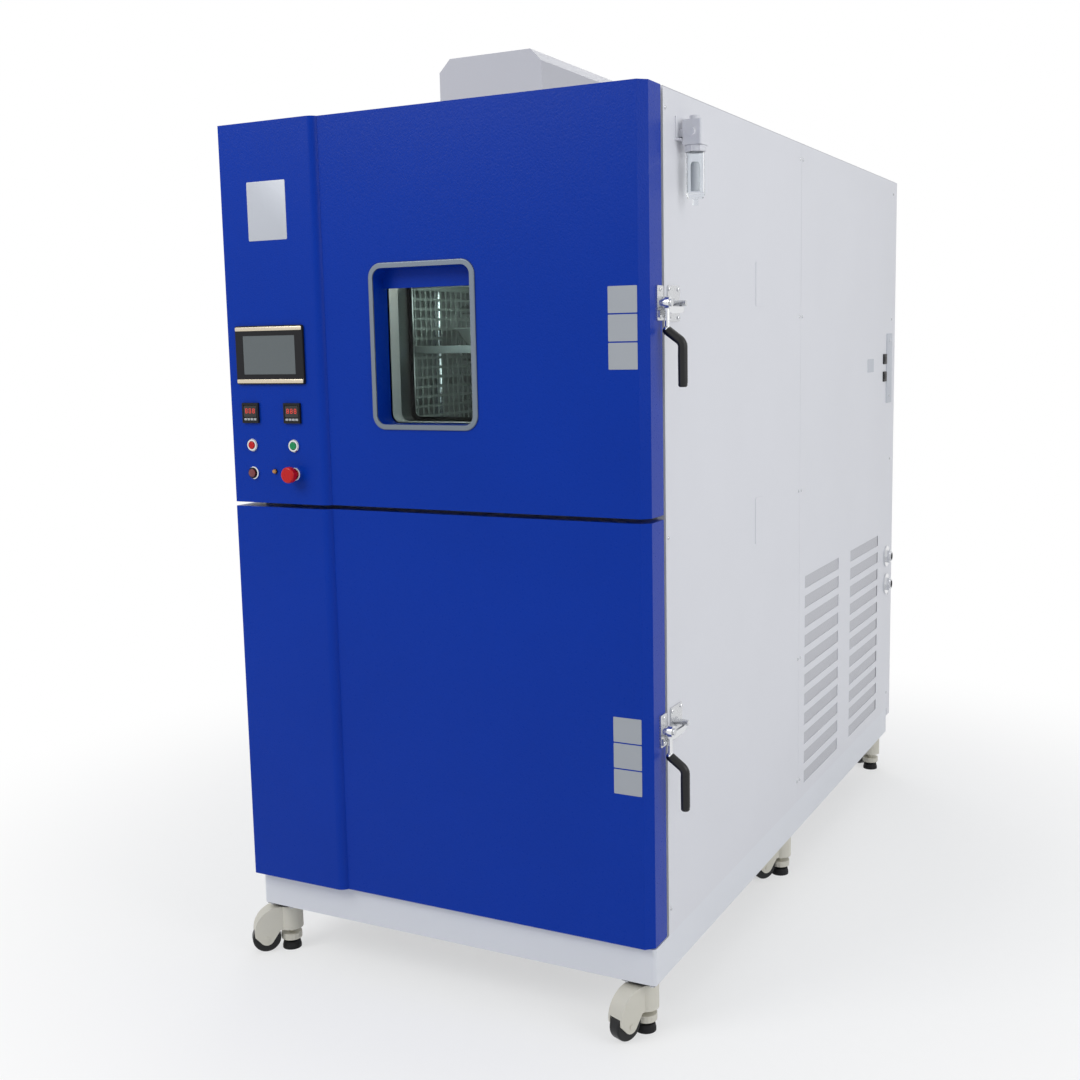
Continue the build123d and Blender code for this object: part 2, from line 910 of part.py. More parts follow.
def panel_instruments():
    face = front - column_proud
    with BuildPart() as group:
        for x in (panel_left, panel_right):
            half = controller_size / 2
            inner = controller_body / 2
            block((x - half, face - 6, controller_height - half), (x + half, face, controller_height + half))
            block(
                (x - inner, face, controller_height - inner),
                (x + inner, face + 70, controller_height + inner),
            )
            block(
                (x - half + 4, face - 6, controller_height - half + 5),
                (x + half - 4, face - 4.5, controller_height + half - 5),
                Mode.SUBTRACT,
            )
        # Fixed collars of the two push buttons and of the stop mushroom
        spots = (
            (panel_left, button_height),
            (panel_right, button_height),
            (panel_right, lower_button_height),
        )
        for x, z in spots:
            rod((x, face - button_collar[1], z), button_collar[0], button_collar[1], "y")
            rod((x, face, z), button_hole - 0.2, 44, "y")
            rod((x, face - button_collar[1], z), button_cap + 0.4, button_travel + 6, "y", Mode.SUBTRACT)
            rod((x, face, z), button_stem + 0.1, 30, "y", Mode.SUBTRACT)
        # Alarm buzzer and its small lamp
        rod((panel_left, face - 7, lower_button_height), buzzer_radius, 7, "y")
        rod((panel_left, face, lower_button_height), button_hole - 0.2, 30, "y")
        rod((left + 124, face - 3, lower_button_height + 5), 6, 3, "y")
    keep(group, "panel_instruments")


def push_button(name, x):
    face = front - column_proud
    with BuildPart() as button:
        rod((x, face - button_collar[1] - 3, button_height), button_cap, 9, "y")
        fillet(button.edges().sort_by(Axis.Y)[0], 1.5)
        rod((x, face, button_height), button_stem, 24, "y")
    keep(button, name)


def emergency_stop():
    face = front - column_proud
    x, z = panel_right, lower_button_height
    tip = face - estop_reach
    with BuildPart() as stop:
        rod((x, tip, z), estop_cap, estop_height, "y")
        fillet(stop.edges().sort_by(Axis.Y)[0], 5)
        rod((x, tip + estop_height, z), button_cap, estop_reach - estop_height + 1, "y")
        rod((x, face, z), button_stem, 24, "y")
    keep(stop, "emergency_stop")


def latch_body(name, z):
    width, height, thickness = latch_plate
    start = latch_pivot_y - width / 2
    with BuildPart() as body:
        with BuildSketch(Plane.YZ.offset(right)):
            with Locations((latch_pivot_y, z)):
                RectangleRounded(width, height, 4)
        extrude(amount=thickness)
        rod((right + thickness, latch_pivot_y, z), latch_boss_radius, latch_boss_length, "x")
        rod((right, latch_pivot_y, z), latch_pin_radius, lever_start + lever_plate + 8, "x")
        rod((right + lever_start + lever_plate + 4.5, latch_pivot_y, z), 8, 3.5, "x")
        # Side wings that stiffen the plate
        for y in (start + 1.5, start + width - 4.5):
            block((right, y, z - height / 2 + 6), (right + thickness + 5, y + 3, z - 16))
        for offset in (-height / 2 + 8, height / 2 - 8):
            rod((right + thickness - 1, latch_pivot_y, z + offset), 2.6, 2, "x", Mode.SUBTRACT)
    keep(body, name)


def latch_lever(name, z):
    """Hook arm, chromed rod and padded grip that hangs down when closed."""
    x0 = right + lever_start
    x_mid = x0 + lever_plate / 2
    arm_top = z - keeper_roller_radius - keeper_clearance
    with BuildPart() as lever:
        rod((right + latch_plate[2] + latch_boss_length + 0.3, latch_pivot_y, z), 12.5, 14, "x")
        # Arm that reaches under the keeper's roller
        with BuildSketch(Plane.YZ.offset(x0)):
            with BuildLine():
                Polyline(
                    (latch_pivot_y - 4, z + 12),
                    (latch_pivot_y + 10, z + 7),
                    (latch_pivot_y + 26, arm_top),
                    (keeper_y + 10, arm_top),
                    (keeper_y + 12, arm_top - 6),
                    (keeper_y + 4, arm_top - 13),
                    (latch_pivot_y + 20, arm_top - 15),
                    (latch_pivot_y - 6, z - 16),
                    close=True,
                )
            make_face()
        extrude(amount=lever_plate)
        # Rod, then grip
        path_points = (
            (x_mid, latch_pivot_y, z - 6),
            (x_mid, latch_pivot_y, z - lever_rod_drop),
            (x_mid + lever_outset, latch_pivot_y, z - lever_bend_drop),
            (x_mid + lever_outset, latch_pivot_y, z - lever_drop + 8),
        )
        with BuildLine():
            FilletPolyline(*path_points, radius=14)
        with BuildSketch(Plane(origin=path_points[0], z_dir=(0, 0, -1))):
            Circle(lever_rod_radius)
        sweep()
        bend = (path_points[2][0] - path_points[1][0], 0, path_points[2][2] - path_points[1][2])
        with BuildLine():
            FilletPolyline(path_points[1], path_points[2], path_points[3], radius=20)
        with BuildSketch(Plane(origin=path_points[1], z_dir=bend)):
            Circle(lever_grip_radius)
        sweep()
        with Locations(path_points[1], path_points[3]):
            Sphere(lever_grip_radius)
        rod(
            (right, latch_pivot_y, z),
            latch_pin_radius + latch_pin_gap,
            lever_start + lever_plate + 30,
            "x",
            Mode.SUBTRACT,
        )
    keep(lever, name)


def latch_keepers():
    width, height, thickness = keeper_plate
    with BuildPart() as keepers:
        for z in latch_heights:
            with BuildSketch(Plane.YZ.offset(right)):
                with Locations((keeper_y, z)):
                    RectangleRounded(width, height, 5)
            extrude(amount=thickness)
            rod((right + thickness, keeper_y, z), keeper_roller_radius, keeper_roller_length, "x")
            rod((right + thickness, keeper_y, z), keeper_roller_radius + 4, 4, "x")
            with BuildSketch(Plane.YZ.offset(right)):
                with Locations((keeper_y, z)):
                    with GridLocations(width - 16, height - 16, 2, 2):
                        Circle(2.6)
            extrude(amount=thickness, mode=Mode.SUBTRACT)
    keep(keepers, "latch_keepers")


def air_filter():
    side, height = filter_block
    x0 = right + filter_bracket
    low = filter_top - height
    with BuildPart() as head:
        block((x0, filter_y - side / 2, low), (x0 + side, filter_y + side / 2, filter_top))
        fillet(head.edges().filter_by(Axis.Z), 5)
        block((right, filter_y - 30, low + 10), (x0, filter_y + 30, low + 14))
        block((right, filter_y - 30, low + 10), (right + 3, filter_y + 30, filter_top + 8))
        block((right, filter_y - 14, low + 18), (x0, filter_y + 14, low + 34))
        rod((x0 + side / 2, filter_y, filter_top), 12, 9, "z")
        rod((x0 + side / 2, filter_y - side / 2 - 8, low + height / 2), 9, 8, "y")
    keep(head, "air_filter_head")
    with BuildPart() as bowl:
        centre = (x0 + side / 2, filter_y)
        with BuildSketch(Plane.XZ.offset(-filter_y)):
            with BuildLine():
                Polyline(
                    (centre[0], low - bowl_length),
                    (centre[0] + 6, low - bowl_length),
                    (centre[0] + 6, low - bowl_length + 12),
                    (centre[0] + bowl_radius - 4, low - bowl_length + 14),
                    (centre[0] + bowl_radius, low - bowl_length + 22),
                    (centre[0] + bowl_radius, low),
                    (centre[0], low),
                    close=True,
                )
            make_face()
        revolve(axis=Axis((centre[0], centre[1], 0), (0, 0, 1)))
        rod(
            (centre[0], centre[1], low - bowl_length + 26),
            bowl_radius - 3,
            bowl_length - 26,
            "z",
            Mode.SUBTRACT,
        )
    keep(bowl, "air_filter_bowl")


def water_fittings():
    with BuildPart() as fittings:
        for z in fitting_spots:
            rod((right - 60, fitting_y, z), 17, 82, "x")
            with BuildSketch(Plane.YZ.offset(right)):
                with Locations((fitting_y, z)):
                    Circle(36)
            extrude(amount=6)
            with BuildSketch(Plane.YZ.offset(right + 6)):
                with Locations((fitting_y, z)):
                    RegularPolygon(24, 6)
            extrude(amount=12)
            rod((right - 60, fitting_y, z), fitting_bore, 82, "x", Mode.SUBTRACT)
    keep(fittings, "water_fittings")


def zone_middle(zone):
    return (zone[0] + zone[1]) / 2


def fan_motors():
    start = front + insulation_depth
    with BuildPart() as motors:
        for zone in (cold_zone, hot_zone):
            z = zone_middle(zone)
            block((middle - 90, start, z - 90), (middle + 90, start + 8, z + 90))
            rod((middle, start + 8, z), motor_radius, motor_length, "y")
            rod((middle, start + 8 + motor_length, z), motor_radius + 4, 34, "y")
            block(
                (middle - 20, start + 60, z + motor_radius - 10),
                (middle + 30, start + 130, z + motor_radius + 26),
            )
            rod((middle, start, z), shaft_radius + shaft_gap, 100, "y", Mode.SUBTRACT)
    keep(motors, "fan_motors")


def circulation_fan(name, zone):
    z = zone_middle(zone)
    y = front + zone_depth + 22
    with BuildPart() as fan:
        rod((middle, y + fan_width - 3, z), fan_radius, 3, "y")
        rod((middle, y, z), fan_radius, 3, "y")
        rod((middle, y, z), fan_radius - 26, 3, "y", Mode.SUBTRACT)
        for step in range(fan_blades):
            turn = step * 360 / fan_blades
            spot = Plane(
                origin=(
                    middle + (fan_radius - 15) * cos(radians(turn)),
                    y,
                    z + (fan_radius - 15) * sin(radians(turn)),
                ),
                x_dir=(cos(radians(turn + 35)), 0, sin(radians(turn + 35))),
                z_dir=(0, -1, 0),
            )
            with BuildSketch(spot):
                Rectangle(24, 1.6)
            extrude(amount=-fan_width)
        rod((middle, y + 20, z), 22, fan_width - 20, "y")
        rod((middle, y + 20, z), shaft_radius, front + insulation_depth + 95 - y - 20, "y")
    keep(fan, name)


def basket():
    """Cage of square bars with perforated walls on three sides, and a shelf."""
    floor = hot_zone[0]
    x0, x1 = middle - basket_width / 2, middle + basket_width / 2
    y0, y1 = hatch_middle - basket_depth / 2, hatch_middle + basket_depth / 2
    top = floor + basket_height
    inset = basket_bar
    hole, pitch = basket_holes
    members = []
    for x in (x0, x1 - inset):
        for y in (y0, y1 - inset):
            members.append(bar((x, y, floor), (x + inset, y + inset, top)))
        for z in (floor, top - inset):
            members.append(bar((x, y0 + inset, z), (x + inset, y1 - inset, z + inset)))
    for y in (y0, y1 - inset):
        for z in (floor, top - inset):
            members.append(bar((x0 + inset, y, z), (x1 - inset, y + inset, z + inset)))
    with BuildPart() as rear_wall:
        block(
            (x0 + inset, y1 - 6, floor + inset),
            (x1 - inset, y1 - 6 + basket_sheet, top - inset),
        )
        with BuildSketch(Plane.XZ.offset(-y1 + 6)):
            with Locations((middle, floor + basket_height / 2)):
                with GridLocations(pitch, pitch, 7, 8):
                    Rectangle(hole, hole)
        extrude(amount=-basket_sheet, mode=Mode.SUBTRACT)
    members.append(rear_wall.part)
    for x in (x0 + 4.5, x1 - 6):
        with BuildPart() as side_wall:
            block(
                (x, y0 + inset, floor + inset),
                (x + basket_sheet, y1 - inset, top - inset),
            )
            with BuildSketch(Plane.YZ.offset(x)):
                with Locations((hatch_middle, floor + basket_height / 2)):
                    with GridLocations(pitch, pitch, 7, 8):
                        Rectangle(hole, hole)
            extrude(amount=basket_sheet, mode=Mode.SUBTRACT)
        members.append(side_wall.part)
    shelf = floor + shelf_height
    shelf_top = shelf + sheet
    members.append(bar((x0 + 6, y0 + inset, shelf), (x1 - 6, y1 - inset, shelf_top)))
    members.append(bar((x0 + 6, y0 + inset, shelf_top), (x1 - 6, y0 + inset + sheet, shelf + shelf_lip)))
    keep_members(members, "basket")


def basket_plugs():
    floor = hot_zone[0]
    half = plug_width / 2
    top = floor + basket_height
    with BuildPart() as plugs:
        block(
            (middle - half, hatch_middle - half, floor - bottom_plug),
            (middle + half, hatch_middle + half, floor),
        )
        block(
            (middle - half, hatch_middle - half, top),
            (middle + half, hatch_middle + half, top + top_plug),
        )
        chamfer(plugs.edges().filter_by(Axis.Z), 8)
        # Sheet skins: hollow inside except round the two guide bores
        skin = basket_sheet
        clear = guide_spacing / 2 - guide_radius - 4
        for bottom, depth in ((floor - bottom_plug, bottom_plug), (top, top_plug)):
            low_z, high_z = bottom + skin, bottom + depth - skin
            block(
                (middle - clear, hatch_middle - half + skin, low_z),
                (middle + clear, hatch_middle + half - skin, high_z),
                Mode.SUBTRACT,
            )
        # Ring that the lifting rope ties to
        block(
            (middle - 25, hatch_middle - 3, top + top_plug),
            (middle + 25, hatch_middle + 3, top + top_plug + 8),
        )
        for side in (-1, 1):
            rod(
                (middle + side * guide_spacing / 2, hatch_middle, floor - bottom_plug),
                guide_radius + guide_gap,
                bottom_plug + basket_height + top_plug,
                "z",
                Mode.SUBTRACT,
            )
    keep(plugs, "basket_plugs")


def basket_guides():
    with BuildPart() as guides:
        for side in (-1, 1):
            rod(
                (middle + side * guide_spacing / 2, hatch_middle, cold_zone[0]),
                guide_radius,
                hot_zone[1] - cold_zone[0],
                "z",
            )
    keep(guides, "basket_guides")


def caster_plates():
    radius, depth = raceway
    top = base_bottom
    with BuildPart() as plates:
        for x in (left + caster_inset, right - caster_inset):
            for y in caster_rows:
                half = caster_plate / 2
                low = top - caster_plate_thickness
                block((x - half, y - half, low), (x + half, y + half, top))
                rod((x, y, low - depth), radius, depth, "z")
                rod((x, y, low - depth - kingpin[1]), kingpin[0], kingpin[1], "z")
                with Locations((x, y, low)):
                    with GridLocations(caster_bolts, caster_bolts, 2, 2):
                        Cylinder(caster_bolt_radius, 12, mode=Mode.SUBTRACT)
    keep(plates, "caster_plates")


def caster(tag, x, y, turn):
    """Swivel housing, wheel and levelling foot, with the wheel turned by an angle."""
    along = (cos(radians(turn)), sin(radians(turn)), 0)
    across = (sin(radians(turn)), -cos(radians(turn)), 0)
    side = Plane(origin=(x, y, 0), x_dir=along, z_dir=across)
    crown = base_bottom - caster_plate_thickness - raceway[1] - swivel_gap
    inner = wheel_width / 2 + cheek_gap
    outer = inner + cheek
    window = thumb_bottom + thumb_height + foot_up + thumb_gap
    stem_top = window + foot_down + 4
    with BuildPart() as housing:
        rod((x, y, window), 31, crown - window, "z")
        with BuildSketch(side):
            with BuildLine():
                top = Line((0, crown), (34, crown))
                back = ThreePointArc(
                    top @ 1, (wheel_offset + 17, crown - 24), (wheel_offset + 30, wheel_radius + 8)
                )
                nose = Line(back @ 1, (wheel_offset + 14, wheel_radius - 10))
                lobe = ThreePointArc(
                    nose @ 1, (wheel_offset, wheel_radius - 16), (wheel_offset - 14, wheel_radius - 9)
                )
                Polyline(lobe @ 1, (30, window), (0, window), top @ 0)
            make_face()
        extrude(amount=outer, both=True)
        # Room for the wheel between the cheeks
        with BuildSketch(side):
            with Locations((wheel_offset, wheel_radius)):
                Circle(wheel_radius + 3)
                with Locations((0, -wheel_radius / 2)):
                    Rectangle(2 * wheel_radius + 6, wheel_radius)
        extrude(amount=inner, both=True, mode=Mode.SUBTRACT)
        rod((x, y, crown - kingpin[1] - 1), kingpin[0] + 0.05, kingpin[1] + 2, "z", Mode.SUBTRACT)
        rod((x, y, window - 1), stem_radius + 0.1, stem_top + foot_up + 3 - window, "z", Mode.SUBTRACT)
        # Axle pinned through both cheeks
        with BuildSketch(side):
            with Locations((wheel_offset, wheel_radius)):
                Circle(axle_radius)
        extrude(amount=outer + 2, both=True)
    keep(housing, f"caster_housing_{tag}")
    with BuildPart() as wheel:
        with BuildSketch(side):
            with Locations((wheel_offset, wheel_radius)):
                Circle(wheel_radius)
                Circle(axle_radius + wheel_bore_gap, mode=Mode.SUBTRACT)
        extrude(amount=wheel_width / 2, both=True)
        rims = wheel.edges().filter_by(GeomType.CIRCLE)
        fillet([e for e in rims if e.radius > wheel_radius - 1], 5)
    keep(wheel, f"caster_wheel_{tag}")
    with BuildPart() as foot:
        rod((x, y, 0), foot_radius, 7, "z")
        with BuildSketch(Plane.XY.offset(7)):
            with Locations((x, y)):
                Circle(foot_radius)
        extrude(amount=11, taper=14)
        rod((x, y, 16), stem_radius, stem_top - 16, "z")
        rod((x, y, thumb_bottom), thumb_radius, thumb_height, "z")
    keep(foot, f"levelling_foot_{tag}")


welded_frame()
side_panels()
vent_panels()
roof_panel()
rear_cover()
insulation_block()
chamber_liners()
air_baffles()
heater_coil()
evaporator()
refrigeration_set()
roof_housing()
lift_cylinder()
lift_rod()
cabinet_hinges()
door_shell("lower_door_shell", lower_door, False)
door_shell("upper_door_shell", upper_door, True)
door_liner("lower_door_liner", lower_door, cold_zone, False)
door_liner("upper_door_liner", upper_door, hot_zone, True)
window_trim()
window_panes()
door_gaskets()
touch_panel()
panel_instruments()
push_button("stop_button", panel_left)
push_button("start_button", panel_right)
emergency_stop()
for label, height in zip(("lower", "upper"), latch_heights):
    latch_body(f"{label}_latch_body", height)
    latch_lever(f"{label}_latch_lever", height)
latch_keepers()
air_filter()
water_fittings()
fan_motors()
circulation_fan("hot_fan", hot_zone)
circulation_fan("cold_fan", cold_zone)
basket()
basket_plugs()
basket_guides()
caster_plates()
for row, row_name in enumerate(("front", "middle", "rear")):
    for column, (side_name, spot) in enumerate(
        (("left", left + caster_inset), ("right", right - caster_inset))
    ):
        caster(f"{row_name}_{side_name}", spot, caster_rows[row], caster_turns[row][column])
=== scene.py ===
import math

import bmesh
import bpy
from mathutils import Matrix, Vector


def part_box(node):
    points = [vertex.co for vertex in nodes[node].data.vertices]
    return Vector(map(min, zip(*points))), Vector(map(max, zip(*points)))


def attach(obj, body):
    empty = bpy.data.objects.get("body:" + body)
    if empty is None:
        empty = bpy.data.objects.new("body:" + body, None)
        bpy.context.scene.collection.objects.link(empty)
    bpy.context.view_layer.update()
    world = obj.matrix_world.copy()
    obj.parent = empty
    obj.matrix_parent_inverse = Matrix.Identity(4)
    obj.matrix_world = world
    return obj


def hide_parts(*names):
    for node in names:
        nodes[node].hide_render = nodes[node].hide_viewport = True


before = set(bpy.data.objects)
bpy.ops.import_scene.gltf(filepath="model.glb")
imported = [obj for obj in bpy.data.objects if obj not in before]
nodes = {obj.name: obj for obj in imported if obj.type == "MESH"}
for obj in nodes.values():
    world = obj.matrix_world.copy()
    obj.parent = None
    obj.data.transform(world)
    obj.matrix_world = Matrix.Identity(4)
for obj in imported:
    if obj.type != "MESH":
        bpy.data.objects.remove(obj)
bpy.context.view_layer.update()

roof_low, roof_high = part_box("roof_panel")
left, front = roof_low.x, roof_low.y
right = roof_high.x
floor_of_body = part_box("side_panels")[0].z
middle = (left + right) / 2
caster_tags = (
    "front_left",
    "front_right",
    "middle_left",
    "middle_right",
    "rear_left",
    "rear_right",
)

# Heights and depths in metres
pad_top = 0.022
thumb_wheel_foot = 0.0275
door_thickness = 0.094
recess_depth = 0.054
outer_pane = 0.006

# The same in millimetres, as at() takes them, negative ones in front of the body
column_y = -108
door_y = -94
bezel = 4.5
side_x = 1086
upper_latch_z = 1400
lower_latch_z = 484
controller_x = (60, 184)

FRONT = Matrix(((1, 0, 0), (0, 0, -1), (0, 1, 0)))
RIGHT = Matrix(((0, 0, 1), (1, 0, 0), (0, 1, 0)))
LEFT = Matrix(((0, 0, -1), (-1, 0, 0), (0, 1, 0)))


def at(x, y, z):
    """Point given in millimetres from the body's lower left front corner."""
    return Vector((left + x / 1000, front + y / 1000, floor_of_body + z / 1000))


def facing(side, point):
    return Matrix.Translation(point) @ side.to_4x4()


# Materials


def start_material(name):
    mat = bpy.data.materials.new(name)
    mat.use_nodes = True
    shader = mat.node_tree.nodes["Principled BSDF"]
    return mat, mat.node_tree, shader


def noise(tree, scale, stretch=(1, 1, 1), detail=3.0):
    coords = tree.nodes.new("ShaderNodeTexCoord")
    mapping = tree.nodes.new("ShaderNodeMapping")
    mapping.inputs["Scale"].default_value = stretch
    texture = tree.nodes.new("ShaderNodeTexNoise")
    texture.inputs["Scale"].default_value = scale
    texture.inputs["Detail"].default_value = detail
    tree.links.new(coords.outputs["Object"], mapping.inputs["Vector"])
    tree.links.new(mapping.outputs["Vector"], texture.inputs["Vector"])
    return texture.outputs["Fac"]


def spread(tree, value, low, high):
    node = tree.nodes.new("ShaderNodeMapRange")
    node.inputs["From Min"].default_value = 0.3
    node.inputs["From Max"].default_value = 0.7
    node.inputs["To Min"].default_value = low
    node.inputs["To Max"].default_value = high
    tree.links.new(value, node.inputs["Value"])
    return node.outputs["Result"]


def shade(tree, factor, dark, light, target):
    mix = tree.nodes.new("ShaderNodeMix")
    mix.data_type = "RGBA"
    mix.inputs[6].default_value = (*dark, 1)
    mix.inputs[7].default_value = (*light, 1)
    tree.links.new(factor, mix.inputs["Factor"])
    tree.links.new(mix.outputs[2], target)


def bump(tree, height, shader, strength, distance):
    node = tree.nodes.new("ShaderNodeBump")
    node.inputs["Strength"].default_value = strength
    node.inputs["Distance"].default_value = distance
    tree.links.new(height, node.inputs["Height"])
    tree.links.new(node.outputs["Normal"], shader.inputs["Normal"])


def surface(
    name,
    colour,
    rough,
    metal=0.0,
    grain=600,
    depth=0.25,
    tone=0.06,
    coat=0.0,
    stretch=(1, 1, 1),
    gloss=0.5,
):
    """Painted, moulded or brushed finish with its own grain and slight unevenness."""
    mat, tree, shader = start_material(name)
    shader.inputs["Metallic"].default_value = metal
    shader.inputs["Coat Weight"].default_value = coat
    shader.inputs["Specular IOR Level"].default_value = gloss
    broad = noise(tree, 3.5)
    dark = tuple(c * (1 - tone) for c in colour)
    light = tuple(min(1.0, c * (1 + tone)) for c in colour)
    shade(tree, broad, dark, light, shader.inputs["Base Color"])
    fine = noise(tree, grain, stretch)
    tree.links.new(spread(tree, fine, rough * 0.82, rough * 1.18), shader.inputs["Roughness"])
    bump(tree, fine, shader, depth, 0.0006)
    mat.diffuse_color = (*colour, 1)
    return mat


def clear(name, colour, rough):
    mat, tree, shader = start_material(name)
    shader.inputs["Base Color"].default_value = (*colour, 1)
    shader.inputs["Transmission Weight"].default_value = 1.0
    shader.inputs["IOR"].default_value = 1.15
    smear = noise(tree, 9)
    tree.links.new(spread(tree, smear, rough, rough * 2.5), shader.inputs["Roughness"])
    return mat


def pierced_metal(name, colour, pitch):
    """Fine woven mesh: light wires, with painted shade in the openings for the shaded inside that
    shows through them.
    """
    mat, tree, shader = start_material(name)
    coords = tree.nodes.new("ShaderNodeTexCoord")
    waves = []
    for axis in ("Y", "Z"):
        wave = tree.nodes.new("ShaderNodeTexWave")
        wave.bands_direction = axis
        wave.inputs["Scale"].default_value = 0.314 / pitch
        tree.links.new(coords.outputs["Object"], wave.inputs["Vector"])
        waves.append(wave.outputs["Fac"])
    join = tree.nodes.new("ShaderNodeMath")
    join.operation = "MULTIPLY"
    tree.links.new(waves[0], join.inputs[0])
    tree.links.new(waves[1], join.inputs[1])
    # painted shade: the openings are darkened to stand for the shaded inside seen through the
    # holes
    opening_shade = tuple(c * 0.45 for c in colour)
    shade(tree, join.outputs[0], colour, opening_shade, shader.inputs["Base Color"])
    shader.inputs["Metallic"].default_value = 0.2
    shader.inputs["Roughness"].default_value = 0.5
    bump(tree, join.outputs[0], shader, 0.4, 0.0008)
    return mat


def glow(name, colour, strength):
    mat, tree, shader = start_material(name)
    grain = noise(tree, 300)
    shade(tree, grain, tuple(c * 0.9 for c in colour), colour, shader.inputs["Base Color"])
    shader.inputs["Emission Color"].default_value = (*colour, 1)
    shader.inputs["Emission Strength"].default_value = strength
    shader.inputs["Roughness"].default_value = 0.25
    return mat


blue_powder = surface(
    "blue_powder_coat", (0.0008, 0.036, 0.37), 0.32, grain=260, depth=0.7, tone=0.06, gloss=0.12
)
fine_powder = {"grain": 520, "depth": 0.16, "tone": 0.02, "gloss": 0.4}
white_powder = surface("white_powder_coat", (0.76, 0.76, 0.80), 0.42, **fine_powder)
roof_powder = surface("roof_powder_coat", (0.54, 0.54, 0.58), 0.42, **fine_powder)
base_powder = surface("base_powder_coat", (0.78, 0.79, 0.83), 0.45, **fine_powder)
brushed_liner = surface(
    "brushed_liner_steel", (0.46, 0.47, 0.47), 0.32, 1.0, 260, 0.10, 0.05, stretch=(1, 1, 14)
)
brushed_trim = surface(
    "brushed_trim_steel", (0.17, 0.20, 0.24), 0.42, 0.7, 260, 0.10, 0.05, stretch=(14, 1, 1)
)
bright_chrome = surface("bright_chrome", (0.72, 0.73, 0.75), 0.14, 1.0, 40, 0.03, 0.05)
cast_chrome = surface("cast_chrome", (0.60, 0.61, 0.63), 0.26, 1.0, 380, 0.18, 0.08)
black_oxide = surface("black_oxide_steel", (0.05, 0.05, 0.055), 0.45, 0.8, 500, 0.2, 0.15)
heater_steel = surface("heater_steel", (0.20, 0.17, 0.15), 0.5, 0.9, 400, 0.2, 0.25)
wool = surface("mineral_wool", (0.62, 0.55, 0.38), 0.95, 0.0, 180, 0.9, 0.2)
pale_satin = surface("pale_satin_steel", (0.58, 0.61, 0.59), 0.5, 0.1, 300, 0.08, 0.05)
basket_steel = surface("basket_satin_steel", (0.46, 0.49, 0.47), 0.48, 0.25, 300, 0.12, 0.06)
seal = surface("silicone_seal", (0.62, 0.61, 0.58), 0.6, 0.0, 700, 0.12, 0.04)
black_rubber = surface("black_rubber", (0.010, 0.010, 0.011), 0.62, 0.0, 800, 0.3, 0.2, gloss=0.25)
grip_vinyl = surface("grip_vinyl", (0.007, 0.007, 0.008), 0.33, 0.0, 300, 0.12, 0.15, gloss=0.35)
black_moulding = surface(
    "black_moulding", (0.009, 0.009, 0.011), 0.42, 0.0, 900, 0.2, 0.1, gloss=0.2
)
wheel_nylon = surface("wheel_nylon", (0.012, 0.012, 0.013), 0.38, 0.0, 500, 0.15, 0.15, gloss=0.3)
cast_cream = surface("cast_cream_housing", (0.70, 0.67, 0.58), 0.45, 0.0, 330, 0.3, 0.07)
copper_fins = surface("copper_fins", (0.62, 0.36, 0.22), 0.35, 1.0, 200, 0.1, 0.1)
motor_enamel = surface("motor_enamel", (0.09, 0.11, 0.13), 0.4, 0.0, 500, 0.2, 0.1)
button_cap = {"grain": 200, "depth": 0.05, "tone": 0.08, "coat": 0.1, "gloss": 0.25}
green_button = surface("green_button", (0.004, 0.26, 0.09), 0.3, **button_cap)
red_button = surface("red_button", (0.56, 0.006, 0.008), 0.3, **button_cap)
dark_red_lens = surface("dark_red_lens", (0.17, 0.006, 0.012), 0.25, 0.0, 120, 0.05, 0.1, 0.6)
amber_lens = surface("amber_lens", (0.50, 0.22, 0.03), 0.25, 0.0, 120, 0.05, 0.1, 0.6)
champagne_metal = surface("champagne_metal", (0.66, 0.58, 0.45), 0.3, 0.9, 400, 0.08, 0.04)
display_grey = glow("display_grey", (0.09, 0.105, 0.11), 0.25)
display_red = glow("display_red", (0.8, 0.05, 0.03), 0.6)
display_dark = surface("display_dark", (0.012, 0.010, 0.010), 0.12, 0.0, 200, 0.02, 0.1)
key_grey = surface("key_grey", (0.42, 0.43, 0.44), 0.5, 0.0, 600, 0.1, 0.05)
blank_plate = surface("blank_plate", (0.56, 0.58, 0.63), 0.5, 0.15, 350, 0.06, 0.03)
blank_sign = surface("blank_sign", (0.40, 0.42, 0.45), 0.38, 0.0, 350, 0.05, 0.04)
window_glass = clear("window_glass", (0.90, 0.97, 0.96), 0.008)
bowl_glass = clear("bowl_polycarbonate", (0.93, 0.95, 0.96), 0.05)
vent_mesh = pierced_metal("vent_mesh", (0.62, 0.62, 0.66), 0.004)
lamp_glow = glow("chamber_lamp_glow", (1.0, 0.97, 0.90), 7.0)

